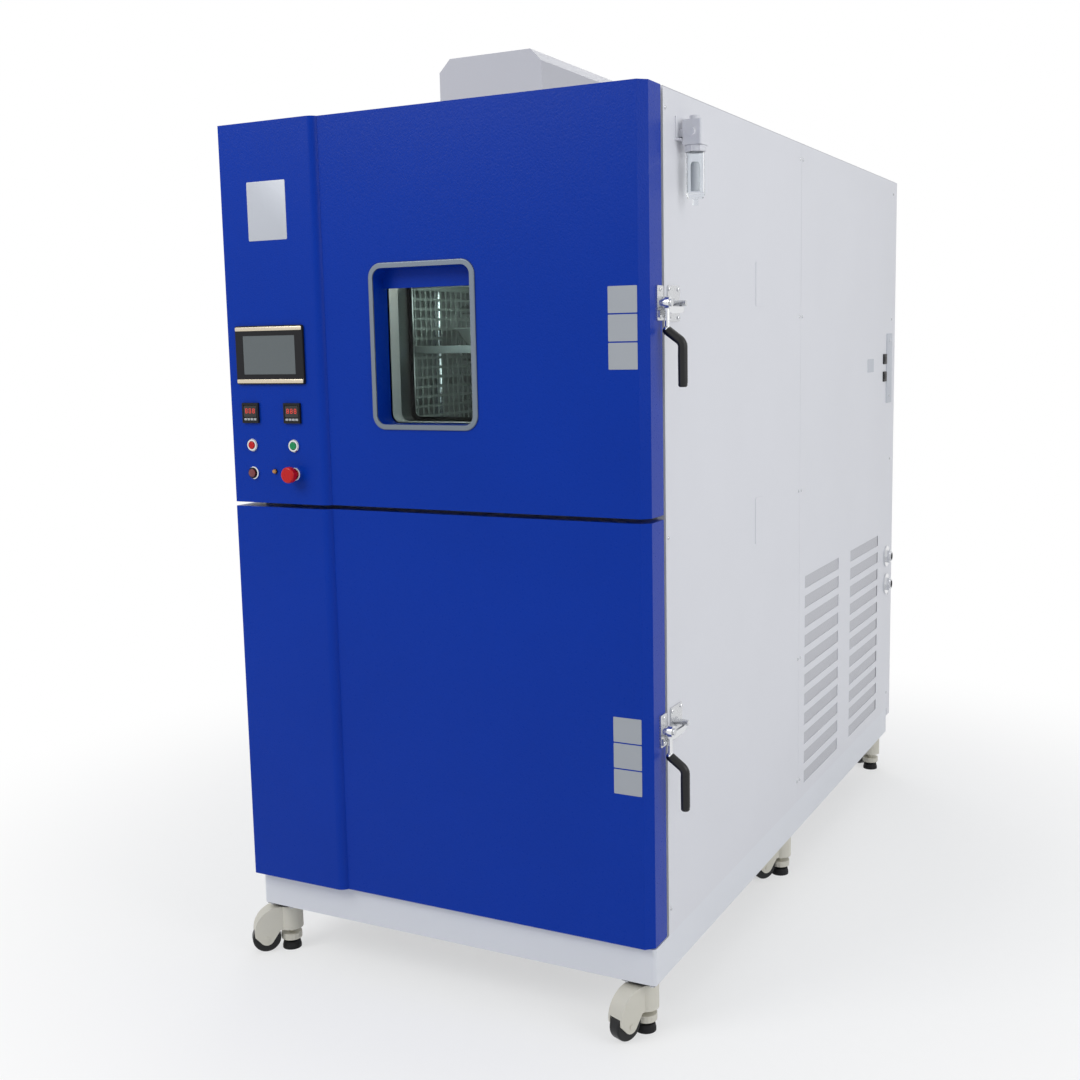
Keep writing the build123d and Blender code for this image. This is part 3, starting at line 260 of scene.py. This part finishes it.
finish_of = {
    "welded_frame": base_powder,
    "side_panels": white_powder,
    "vent_panels": white_powder,
    "roof_panel": roof_powder,
    "rear_cover": white_powder,
    "roof_housing": roof_powder,
    "insulation_block": wool,
    "chamber_liners": brushed_liner,
    "air_baffles": brushed_liner,
    "heater_coil": heater_steel,
    "evaporator": copper_fins,
    "refrigeration_set": black_oxide,
    "lift_cylinder": black_oxide,
    "basket_guides": bright_chrome,
    "latch_keepers": cast_chrome,
    "cabinet_hinges": cast_chrome,
    "air_filter_head": white_powder,
    "air_filter_bowl": bowl_glass,
    "water_fittings": bright_chrome,
    "fan_motors": motor_enamel,
    "caster_plates": black_oxide,
    "door_gaskets": seal,
    "upper_door_shell": blue_powder,
    "lower_door_shell": blue_powder,
    "upper_door_liner": brushed_liner,
    "lower_door_liner": brushed_liner,
    "window_trim": brushed_trim,
    "window_panes": window_glass,
    "touch_panel": black_moulding,
    "panel_instruments": black_moulding,
    "upper_latch_body": cast_chrome,
    "lower_latch_body": cast_chrome,
    "upper_latch_lever": bright_chrome,
    "lower_latch_lever": bright_chrome,
    "basket": brushed_liner,
    "basket_plugs": brushed_liner,
    "lift_rod": bright_chrome,
    "hot_fan": brushed_liner,
    "cold_fan": brushed_liner,
    "start_button": green_button,
    "stop_button": red_button,
    "emergency_stop": red_button,
}
for node_name, node in nodes.items():
    finish = finish_of.get(node_name)
    if node_name.startswith("caster_housing"):
        finish = cast_cream
    if node_name.startswith("caster_wheel"):
        finish = wheel_nylon
    if node_name.startswith("levelling_foot"):
        finish = black_rubber
    node.data.materials.clear()
    node.data.materials.append(finish)


# Shaping


def finish_piece(name, bm, material, body, smooth=35):
    bmesh.ops.recalc_face_normals(bm, faces=bm.faces)
    mesh = bpy.data.meshes.new(name)
    bm.to_mesh(mesh)
    bm.free()
    mesh.shade_smooth()
    mesh.set_sharp_from_angle(angle=math.radians(smooth))
    mesh.materials.append(material)
    piece = bpy.data.objects.new(name, mesh)
    bpy.context.scene.collection.objects.link(piece)
    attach(piece, body)
    return piece


def soften(bm, edges, width, segments=2):
    bmesh.ops.bevel(
        bm,
        geom=edges,
        offset=width,
        offset_type="OFFSET",
        segments=segments,
        profile=0.5,
        affect="EDGES",
        material=-1,
    )


def slab(bm, low, high, edge=0.0):
    """Bar or plate between two corners, with softened edges."""
    centre = (Vector(low) + Vector(high)) / 2
    size = Vector(high) - Vector(low)
    shape = Matrix.Translation(centre) @ Matrix.Diagonal((*size, 1))
    made = bmesh.ops.create_cube(bm, size=1, matrix=shape)
    if edge:
        edges = list({e for v in made["verts"] for e in v.link_edges})
        soften(bm, edges, edge)


def raise_faces(own, thickness):
    """Gives a flat sheet its thickness."""
    raised = bmesh.ops.extrude_face_region(own, geom=list(own.faces))
    upper = [v for v in raised["geom"] if isinstance(v, bmesh.types.BMVert)]
    bmesh.ops.translate(own, vec=(0, 0, thickness), verts=upper)


def plate(bm, place, width, height, thickness, corner, edge=0.0):
    """Plate with round corners, standing on its place and facing out of it."""
    own = bmesh.new()
    made = bmesh.ops.create_grid(own, x_segments=1, y_segments=1, size=0.5)
    bmesh.ops.scale(own, vec=(width, height, 1), verts=made["verts"])
    if corner:
        bmesh.ops.bevel(
            own,
            geom=list(own.verts),
            offset=corner,
            segments=5,
            profile=0.5,
            affect="VERTICES",
            material=-1,
        )
    raise_faces(own, thickness)
    if edge:
        rim = [e for e in own.edges if all(v.co.z > thickness * 0.9 for v in e.verts)]
        soften(own, rim, edge)
    bmesh.ops.transform(own, matrix=place, verts=own.verts)
    merge(bm, own)


def merge(bm, own):
    spare = bpy.data.meshes.new("spare")
    own.to_mesh(spare)
    own.free()
    bm.from_mesh(spare)
    bpy.data.meshes.remove(spare)


def turned(bm, place, outline, steps=32):
    """Turned piece from radius and height pairs, about the place's own axis."""
    own = bmesh.new()
    points = [own.verts.new((radius, 0, height)) for radius, height in outline]
    edges = [own.edges.new(pair) for pair in zip(points, points[1:])]
    bmesh.ops.spin(
        own,
        geom=points + edges,
        cent=(0, 0, 0),
        axis=(0, 0, 1),
        angle=math.tau,
        steps=steps,
        use_merge=True,
    )
    bmesh.ops.remove_doubles(own, verts=own.verts, dist=1e-6)
    bmesh.ops.transform(own, matrix=place, verts=own.verts)
    merge(bm, own)


def screw(bm, place, radius, height=0.0022):
    """Socket screw head with a dished recess."""
    outline = (
        (0, 0),
        (radius, 0),
        (radius, height * 0.6),
        (radius * 0.8, height),
        (radius * 0.5, height),
        (radius * 0.45, height * 0.35),
        (0, height * 0.35),
    )
    turned(bm, place, outline, 18)


def ribs_around(bm, centre, radius, count, outline):
    """Upright ribs standing in a circle."""
    for turn in range(count):
        angle = turn * math.tau / count
        x = centre.x + radius * math.cos(angle)
        y = centre.y + radius * math.sin(angle)
        turned(bm, Matrix.Translation(Vector((x, y, centre.z))), outline, 8)


# Operator panel


def touch_screen():
    low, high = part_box("touch_panel")
    centre = Vector(((low.x + high.x) / 2, low.y, (low.z + high.z) / 2))
    bar_rise = 0.0615
    bm = bmesh.new()
    sunk = centre + Vector((0, 0.0013, 0))
    plate(bm, facing(FRONT, sunk), 0.1525, 0.0905, 0.0008, 0.001)
    finish_piece("touch_screen_glass", bm, display_grey, "upper_door")
    bm = bmesh.new()
    for offset in (-bar_rise, bar_rise):
        spot = centre + Vector((0, 0.0004, offset))
        plate(bm, facing(FRONT, spot), 0.196, 0.009, 0.0012, 0.002, 0.0004)
    finish_piece("touch_screen_bars", bm, champagne_metal, "upper_door")


def controllers():
    key_pitch = 0.0096
    screens = bmesh.new()
    keys = bmesh.new()
    for x in controller_x:
        face = at(x, column_y - bezel, 1169)
        screen = facing(FRONT, face + Vector((0, 0, 0.0035)))
        plate(screens, screen, 0.038, 0.026, 0.0012, 0.002, 0.0003)
        for step in range(4):
            spot = face + Vector((-0.0144 + step * key_pitch, 0, -0.0150))
            plate(keys, facing(FRONT, spot), 0.0078, 0.0052, 0.0014, 0.001, 0.0003)
    finish_piece("controller_displays", screens, display_dark, "upper_door")
    finish_piece("controller_keys", keys, key_grey, "upper_door")


def controller_digits():
    """Three eights on each controller, every one of seven lit strokes, in millimetres."""
    long, thin, tall = 5, 1.1, 4
    strokes = [(0, rise, long, thin) for rise in (5, 0, -5)]
    strokes += [(2.7, 2.5, thin, tall), (2.7, -2.5, thin, tall)]
    strokes += [(-2.7, -2.5, thin, tall), (-2.7, 2.5, thin, tall)]
    pitch = 11
    digits = bmesh.new()
    for x in controller_x:
        for step in range(3):
            spot = at(x - pitch + step * pitch, column_y - 5.6, 1174)
            for dx, dz, width, height in strokes:
                place = facing(FRONT, spot + Vector((dx, 0, dz)) / 1000)
                plate(digits, place, width / 1000, height / 1000, 0.0003, 0)
    finish_piece("controller_digits", digits, display_red, "upper_door")


def button_details():
    upper_row, lower_row = 1092, 1025
    left_column, right_column = controller_x
    bore, rim = 0.0100, 0.0152
    rims = bmesh.new()
    outline = ((bore, 0.0), (rim, 0.0), (rim, 0.0036), (0.0134, 0.0054), (bore, 0.0054))
    for x, z in (
        (left_column, upper_row),
        (right_column, upper_row),
        (right_column, lower_row),
        (left_column, lower_row),
    ):
        turned(rims, facing(FRONT, at(x, column_y, z)), outline + outline[:1])
    finish_piece("button_rims", rims, bright_chrome, "upper_door")
    lens = bmesh.new()
    dome = (
        (0, 0.0072),
        (0.0098, 0.0072),
        (0.0098, 0.0098),
        (0.0082, 0.0118),
        (0.004, 0.0126),
        (0, 0.0128),
    )
    turned(lens, facing(FRONT, at(left_column, column_y, lower_row)), dome)
    finish_piece("alarm_buzzer_lens", lens, dark_red_lens, "upper_door")
    lamp = bmesh.new()
    outline = ((0, 0), (0.0052, 0), (0.0052, 0.002), (0.0038, 0.0042), (0, 0.005))
    turned(lamp, facing(FRONT, at(124, column_y - 3, 1030)), outline)
    finish_piece("indicator_lens", lamp, amber_lens, "upper_door")


def bare_plates():
    bm = bmesh.new()
    plate(bm, facing(FRONT, at(134, column_y, 1639)), 0.112, 0.135, 0.0007, 0.003, 0.0003)
    finish_piece("bare_name_plate", bm, blank_plate, "upper_door")
    pitch = 58
    for name, z in (("upper", 1350), ("lower", 436)):
        bm = bmesh.new()
        for offset in (-pitch, 0, pitch):
            plate(bm, facing(FRONT, at(1032, door_y, z + offset)), 0.066, 0.055, 0.0005, 0.0015)
        finish_piece(f"bare_sign_plates_{name}", bm, blank_sign, f"{name}_door")


# Window and basket


def window_sleeve():
    """Pale satin frame between the outer pane and the tunnel through the door."""
    low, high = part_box("window_trim")
    behind_pane = front - door_thickness + recess_depth + outer_pane
    depth = 0.036
    centre = Vector(((low.x + high.x) / 2, behind_pane + depth, (low.z + high.z) / 2))
    own = bmesh.new()
    bmesh.ops.create_grid(own, x_segments=1, y_segments=1, size=0.5)
    bmesh.ops.scale(own, vec=(0.2538, 0.3508, 1), verts=own.verts)
    bmesh.ops.bevel(
        own,
        geom=list(own.verts),
        offset=0.022,
        segments=6,
        profile=0.5,
        affect="VERTICES",
        material=-1,
    )
    made = bmesh.ops.inset_region(
        own, faces=list(own.faces), thickness=0.0016, use_boundary=True, use_even_offset=True
    )
    inner = [f for f in own.faces if f not in made["faces"]]
    bmesh.ops.delete(own, geom=inner, context="FACES")
    raise_faces(own, depth)
    bmesh.ops.transform(own, matrix=facing(FRONT, centre), verts=own.verts)
    finish_piece("window_sleeve", own, pale_satin, "upper_door")


def chamber_lamp():
    low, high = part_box("window_panes")
    spot = Vector((low.x + 0.03, front - 0.02, high.z - 0.022))
    length, radius = 0.188, 0.009
    bm = bmesh.new()
    outline = (
        (0, 0),
        (0.008, 0),
        (radius, 0.002),
        (radius, 0.186),
        (0.008, length),
        (0, length),
    )
    turned(bm, Matrix.Translation(spot) @ Matrix.Rotation(math.pi / 2, 4, "Y"), outline)
    finish_piece("chamber_lamp", bm, lamp_glow, "upper_door")


def pierced_wall(bm, place, width, height, columns, rows, web, thickness):
    """Sheet with rows of rectangular holes, made by insetting each cell."""
    own = bmesh.new()
    bmesh.ops.create_grid(own, x_segments=columns, y_segments=rows, size=0.5)
    bmesh.ops.scale(own, vec=(width, height, 1), verts=own.verts)
    cells = list(own.faces)
    bmesh.ops.inset_individual(own, faces=cells, thickness=web / 2)
    bmesh.ops.delete(own, geom=cells, context="FACES")
    raise_faces(own, thickness)
    bmesh.ops.transform(own, matrix=place, verts=own.verts)
    merge(bm, own)


def basket_bars(bm, low, high, bar):
    """Twelve square bars along the edges of the basket."""
    edge = 0.001
    gap = 0.0005
    for x in (low.x, high.x - bar):
        for y in (low.y, high.y - bar):
            slab(bm, (x, y, low.z), (x + bar, y + bar, high.z), edge)
    for z in (low.z, high.z - bar):
        for y in (low.y, high.y - bar):
            start = (low.x + bar, y + gap, z)
            slab(bm, start, (high.x - bar, y + bar - gap, z + bar), edge)
        for x in (low.x, high.x - bar):
            start = (x + gap, low.y + bar, z)
            slab(bm, start, (x + bar - gap, high.y - bar, z + bar), edge)


def fine_basket():
    low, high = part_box("basket")
    bar = 0.012
    web, sheet = 0.0085, 0.0015
    bm = bmesh.new()
    basket_bars(bm, low, high, bar)
    height = high.z - low.z - 2 * bar
    centre_z = (low.z + high.z) / 2
    wide = high.x - low.x - 2 * bar
    deep = high.y - low.y - 2 * bar
    rear_spot = Vector(((low.x + high.x) / 2, high.y - 0.005, centre_z))
    pierced_wall(bm, facing(FRONT, rear_spot), wide, height, 15, 17, web, sheet)
    for side, x in ((RIGHT, low.x + 0.0045), (LEFT, high.x - 0.0045)):
        spot = Vector((x, (low.y + high.y) / 2, centre_z))
        pierced_wall(bm, facing(side, spot), deep, height, 14, 17, web, sheet)
    shelf = low.z + 0.262
    inset = 0.006
    rear_corner = (high.x - inset, high.y - inset, shelf + 0.002)
    slab(bm, (low.x + inset, low.y + inset, shelf), rear_corner)
    lip_corner = (high.x - inset, low.y + 0.004, shelf + 0.018)
    slab(bm, (low.x + inset, low.y + 0.002, shelf), lip_corner, 0.0004)
    piece = finish_piece("pierced_basket", bm, basket_steel, "basket")
    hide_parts("basket")
    sample_tray(Vector(((low.x + high.x) / 2, low.y + 0.17, shelf + 0.0022)))


def sample_tray(spot):
    bm = bmesh.new()
    outline = (
        (0, 0),
        (0.085, 0),
        (0.118, 0.052),
        (0.132, 0.056),
        (0.132, 0.058),
        (0.117, 0.055),
        (0.084, 0.002),
        (0, 0.002),
    )
    turned(bm, Matrix.Translation(spot), outline, 64)
    finish_piece("sample_tray", bm, pale_satin, "basket", 50)


# Side panels


def panel_screws():
    """Screws of the side panels; the hinges stand where the left front row would be."""
    rows = (60, 420, 900, 1380, 1800)
    columns = (12, 963, 987, 2037)
    bm = bmesh.new()
    for side, x, used in ((RIGHT, right, columns), (LEFT, left, columns[1:])):
        for y in used:
            for z in rows:
                spot = at(0, y, z)
                spot.x = x
                screw(bm, facing(side, spot), 0.0042, 0.0018)
    finish_piece("panel_screws", bm, cast_chrome, "cabinet")


def vent_meshes():
    sheet = 0.001
    bm = bmesh.new()
    for x in (left + 0.0022, right - 0.0032):
        low, high = at(0, 1022, 28), at(0, 1884, 656)
        slab(bm, (x, low.y, low.z), (x + sheet, high.y, high.z))
    finish_piece("side_vent_mesh", bm, vent_mesh, "cabinet")
    bm = bmesh.new()
    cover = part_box("rear_cover")[1]
    low, high = at(140, 0, 190), at(946, 0, 650)
    slab(bm, (low.x, cover.y - 0.0035, low.z), (high.x, cover.y - 0.0025, high.z))
    finish_piece("rear_vent_mesh", bm, vent_mesh, "cabinet")


def side_fittings():
    """Covered ports and bare plates near the right side's rear edge."""
    ports = bmesh.new()
    for z in (1246, 1187):
        plate(ports, facing(RIGHT, at(side_x, 1944, z)), 0.044, 0.034, 0.004, 0.003, 0.0008)
        plate(ports, facing(RIGHT, at(side_x + 4, 1944, z)), 0.028, 0.018, 0.0012, 0.002, 0.0004)
    finish_piece("data_port_covers", ports, black_moulding, "cabinet")
    bm = bmesh.new()
    plate(bm, facing(RIGHT, at(side_x, 2006, 1214)), 0.074, 0.236, 0.0025, 0.004, 0.0008)
    plate(bm, facing(RIGHT, at(side_x, 1755, 1228)), 0.080, 0.043, 0.0006, 0.002)
    finish_piece("rear_access_plate", bm, blank_plate, "cabinet")
    bm = bmesh.new()
    for z in (1120, 1308):
        screw(bm, facing(RIGHT, at(side_x + 2.5, 2006, z)), 0.004)
    finish_piece("access_plate_screws", bm, cast_chrome, "cabinet")


def keeper_screws():
    bm = bmesh.new()
    for z in (lower_latch_z, upper_latch_z):
        for y in (-25, 25):
            for dz in (-30, 30):
                screw(bm, facing(RIGHT, at(side_x + 3, 46 + y, z + dz)), 0.0048, 0.0028)
    finish_piece("keeper_screws", bm, bright_chrome, "cabinet")


def latch_details(name, z):
    """Plate screws and the padded grip of one latch."""
    bm = bmesh.new()
    for dz in (-28, 28):
        screw(bm, facing(RIGHT, at(side_x + 4, -30, z + dz)), 0.0042, 0.0026)
    finish_piece(f"{name}_latch_screws", bm, bright_chrome, f"{name}_door")
    low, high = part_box(f"{name}_latch_lever")
    body_low, body_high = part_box(f"{name}_latch_body")
    foot = Vector((high.x - 0.0103, (body_low.y + body_high.y) / 2, low.z))
    bend = floor_of_body + (z - 84) / 1000
    length = bend - low.z
    outline = (
        (0, 0),
        (0.0075, 0),
        (0.0097, 0.003),
        (0.0099, length * 0.35),
        (0.0101, length * 0.75),
        (0.0097, length),
    )
    bm = bmesh.new()
    turned(bm, Matrix.Translation(foot), outline, 28)
    finish_piece(f"{name}_lever_grip", bm, grip_vinyl, f"{name}_latch")


def two_part_lever(name):
    """The lever's padded length is black, the rest of it is chromed."""
    lever = nodes[f"{name}_latch_lever"]
    chromed = 0.067
    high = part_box(f"{name}_latch_lever")[1]
    lever.data.materials.append(grip_vinyl)
    for face in lever.data.polygons:
        if face.center.z < high.z - chromed:
            face.material_index = 1


def air_filter_details():
    low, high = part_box("air_filter_bowl")
    centre = (low + high) / 2
    radius = (high.x - low.x) / 2
    inner, outer = radius + 0.0002, radius + 0.0025
    bm = bmesh.new()
    outline = ((inner, 0), (outer, 0.001), (outer, 0.013), (inner, 0.0138), (inner, 0))
    turned(bm, Matrix.Translation(Vector((centre.x, centre.y, high.z - 0.014))), outline)
    collar = Vector((centre.x, centre.y, high.z - 0.0135))
    rib = ((0, 0), (0.0016, 0), (0.0016, 0.012), (0, 0.0125))
    ribs_around(bm, collar, radius + 0.0022, 8, rib)
    finish_piece("bowl_collar", bm, white_powder, "cabinet")
    bm = bmesh.new()
    outline = ((0, 0), (0.010, 0), (0.010, 0.055), (0.007, 0.060), (0, 0.060))
    turned(bm, Matrix.Translation(Vector((centre.x, centre.y, low.z + 0.03))), outline)
    finish_piece("filter_element", bm, blank_sign, "cabinet")


# Base and casters


def caster_bolts():
    spread_of_bolts = 0.03
    outline = ((0, 0), (0.0075, 0), (0.0075, 0.004), (0.0065, 0.005), (0, 0.005))
    bm = bmesh.new()
    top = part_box("caster_plates")[1].z - 0.004
    for tag in caster_tags:
        low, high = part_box(f"levelling_foot_{tag}")
        centre = (low + high) / 2
        for dx in (-spread_of_bolts, spread_of_bolts):
            for dy in (-spread_of_bolts, spread_of_bolts):
                place = Matrix.Translation(Vector((centre.x + dx, centre.y + dy, top)))
                turned(bm, place @ Matrix.Rotation(math.pi, 4, "X"), outline, 6)
    finish_piece("caster_bolts", bm, cast_chrome, "cabinet", 30)


def cream_thumb_wheel(tag):
    """Thumb wheel and stem of a levelling foot are cast, only its pad is rubber."""
    foot = nodes[f"levelling_foot_{tag}"]
    foot.data.materials.append(cast_cream)
    for face in foot.data.polygons:
        if face.center.z > pad_top:
            face.material_index = 1


def thumb_ribs(tag):
    """Ribs around the thumb wheel of a levelling foot."""
    low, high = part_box(f"levelling_foot_{tag}")
    centre = (low + high) / 2
    bm = bmesh.new()
    wheel = Vector((centre.x, centre.y, thumb_wheel_foot))
    rib = ((0, 0), (0.0014, 0), (0.0014, 0.013), (0, 0.0132))
    ribs_around(bm, wheel, 0.0252, 20, rib)
    finish_piece(f"thumb_ribs_{tag}", bm, cast_cream, f"foot_{tag}")


touch_screen()
controllers()
controller_digits()
button_details()
bare_plates()
window_sleeve()
chamber_lamp()
fine_basket()
panel_screws()
vent_meshes()
side_fittings()
keeper_screws()
for latch_name, latch_z in (("upper", upper_latch_z), ("lower", lower_latch_z)):
    latch_details(latch_name, latch_z)
    two_part_lever(latch_name)
air_filter_details()
caster_bolts()
for caster_tag in caster_tags:
    cream_thumb_wheel(caster_tag)
    thumb_ribs(caster_tag)


# Floor, light and camera


def seen_directly(tree):
    """One for the rays that see a backdrop: from the camera, by reflection or through glass."""
    path = tree.nodes.new("ShaderNodeLightPath")
    value = path.outputs["Is Camera Ray"]
    for ray in ("Is Transmission Ray", "Is Glossy Ray"):
        either = tree.nodes.new("ShaderNodeMath")
        either.operation = "MAXIMUM"
        tree.links.new(value, either.inputs[0])
        tree.links.new(path.outputs[ray], either.inputs[1])
        value = either.outputs[0]
    return value


def pale_floor():
    """White floor that takes the shadow near the object and runs into the backdrop further out."""
    mat, tree, shader = start_material("pale_floor")
    dark, light = (0.84, 0.84, 0.84), (0.86, 0.86, 0.86)
    shade(tree, noise(tree, 30), dark, light, shader.inputs["Base Color"])
    shader.inputs["Roughness"].default_value = 0.8
    shader.inputs["Specular IOR Level"].default_value = 0.1
    coords = tree.nodes.new("ShaderNodeTexCoord")
    reach = tree.nodes.new("ShaderNodeVectorMath")
    reach.operation = "LENGTH"
    tree.links.new(coords.outputs["Object"], reach.inputs[0])
    fade = tree.nodes.new("ShaderNodeMapRange")
    fade.interpolation_type = "SMOOTHSTEP"
    for socket, value in (("From Min", 0.9), ("From Max", 2.6), ("To Min", 0.55), ("To Max", 1.0)):
        fade.inputs[socket].default_value = value
    tree.links.new(reach.outputs["Value"], fade.inputs["Value"])
    share = tree.nodes.new("ShaderNodeMath")
    share.operation = "MULTIPLY"
    tree.links.new(fade.outputs["Result"], share.inputs[0])
    tree.links.new(seen_directly(tree), share.inputs[1])
    white = tree.nodes.new("ShaderNodeEmission")
    white.inputs["Color"].default_value = (1, 1, 1, 1)
    mix = tree.nodes.new("ShaderNodeMixShader")
    tree.links.new(share.outputs[0], mix.inputs["Fac"])
    tree.links.new(shader.outputs["BSDF"], mix.inputs[1])
    tree.links.new(white.outputs["Emission"], mix.inputs[2])
    tree.links.new(mix.outputs["Shader"], tree.nodes["Material Output"].inputs["Surface"])
    return mat


def studio_floor():
    mesh = bpy.data.meshes.new("studio_floor")
    bm = bmesh.new()
    bmesh.ops.create_grid(bm, x_segments=1, y_segments=1, size=30)
    bm.to_mesh(mesh)
    bm.free()
    floor = bpy.data.objects.new("studio_floor", mesh)
    floor.location.z = -0.0005
    bpy.context.scene.collection.objects.link(floor)
    mesh.materials.append(pale_floor())


def studio_world():
    """White where it is seen, a softer cool white where it only lights."""
    world = bpy.data.worlds.new("studio")
    bpy.context.scene.world = world
    world.use_nodes = True
    tree = world.node_tree
    tree.nodes.clear()
    ambient = tree.nodes.new("ShaderNodeBackground")
    ambient.inputs["Color"].default_value = (0.9, 0.95, 1.0, 1)
    ambient.inputs["Strength"].default_value = 0.42
    backdrop = tree.nodes.new("ShaderNodeBackground")
    backdrop.inputs["Color"].default_value = (1, 1, 1, 1)
    backdrop.inputs["Strength"].default_value = 1.0
    mix = tree.nodes.new("ShaderNodeMixShader")
    out = tree.nodes.new("ShaderNodeOutputWorld")
    tree.links.new(seen_directly(tree), mix.inputs["Fac"])
    tree.links.new(ambient.outputs[0], mix.inputs[1])
    tree.links.new(backdrop.outputs[0], mix.inputs[2])
    tree.links.new(mix.outputs[0], out.inputs["Surface"])


def studio_lights():
    for name, place, target, size, power in (
        ("key_light", (-2.2, -4.5, 4.2), (0, 0, 1.1), 2.6, 105),
        ("side_light", (4.8, -1.4, 3.2), (0.4, 0.2, 1.0), 3.2, 84),
        ("top_light", (0.4, 0.6, 5.2), (0, 0, 1.0), 3.0, 36),
        ("back_light", (-2.5, 4.5, 3.5), (0, 0, 1.0), 3.0, 62),
    ):
        data = bpy.data.lights.new(name, "AREA")
        data.size = size
        data.energy = power
        lamp = bpy.data.objects.new(name, data)
        lamp.location = place
        aim = Vector(target) - Vector(place)
        lamp.rotation_euler = aim.to_track_quat("-Z", "Y").to_euler()
        bpy.context.scene.collection.objects.link(lamp)


def zone_lights():
    """Two soft lamps that light the basket and aren't seen themselves, also not through glass."""
    basket_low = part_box("basket")[0]
    for name, rise, power in (("zone_light", 0.375, 0.42), ("lower_zone_light", 0.21, 0.22)):
        data = bpy.data.lights.new(name, "POINT")
        data.energy = power
        data.shadow_soft_size = 0.05
        data.color = (0.88, 1.0, 0.93)
        lamp = bpy.data.objects.new(name, data)
        lamp.location = (middle + 0.03, basket_low.y + 0.07, basket_low.z + rise)
        lamp.visible_camera = False
        lamp.visible_transmission = False
        bpy.context.scene.collection.objects.link(lamp)


def photo_camera():
    """Camera at the place, turn and framing that the cabinet's own edges give."""
    yaw, pitch, roll = 0.476, 0.136, -0.019
    flat = math.cos(pitch)
    forward = Vector((-math.sin(yaw) * flat, math.cos(yaw) * flat, -math.sin(pitch)))
    level = Vector((math.cos(yaw), math.sin(yaw), 0))
    upward = level.cross(forward)
    across = level * math.cos(roll) + upward * math.sin(roll)
    raised = upward * math.cos(roll) - level * math.sin(roll)
    data = bpy.data.cameras.new("photo_camera")
    data.sensor_width = 36
    data.lens = 44.43
    data.shift_x = -0.01483
    data.shift_y = -0.01384
    data.clip_end = 200
    camera = bpy.data.objects.new("photo_camera", data)
    turn = Matrix((across, raised, -forward)).transposed()
    camera.matrix_world = Matrix.Translation(at(2174.7, -2626.9, 1322.3)) @ turn.to_4x4()
    bpy.context.scene.collection.objects.link(camera)
    bpy.context.scene.camera = camera


studio_floor()
studio_world()
studio_lights()
zone_lights()
photo_camera()
bpy.context.scene.view_settings.view_transform = "Standard"
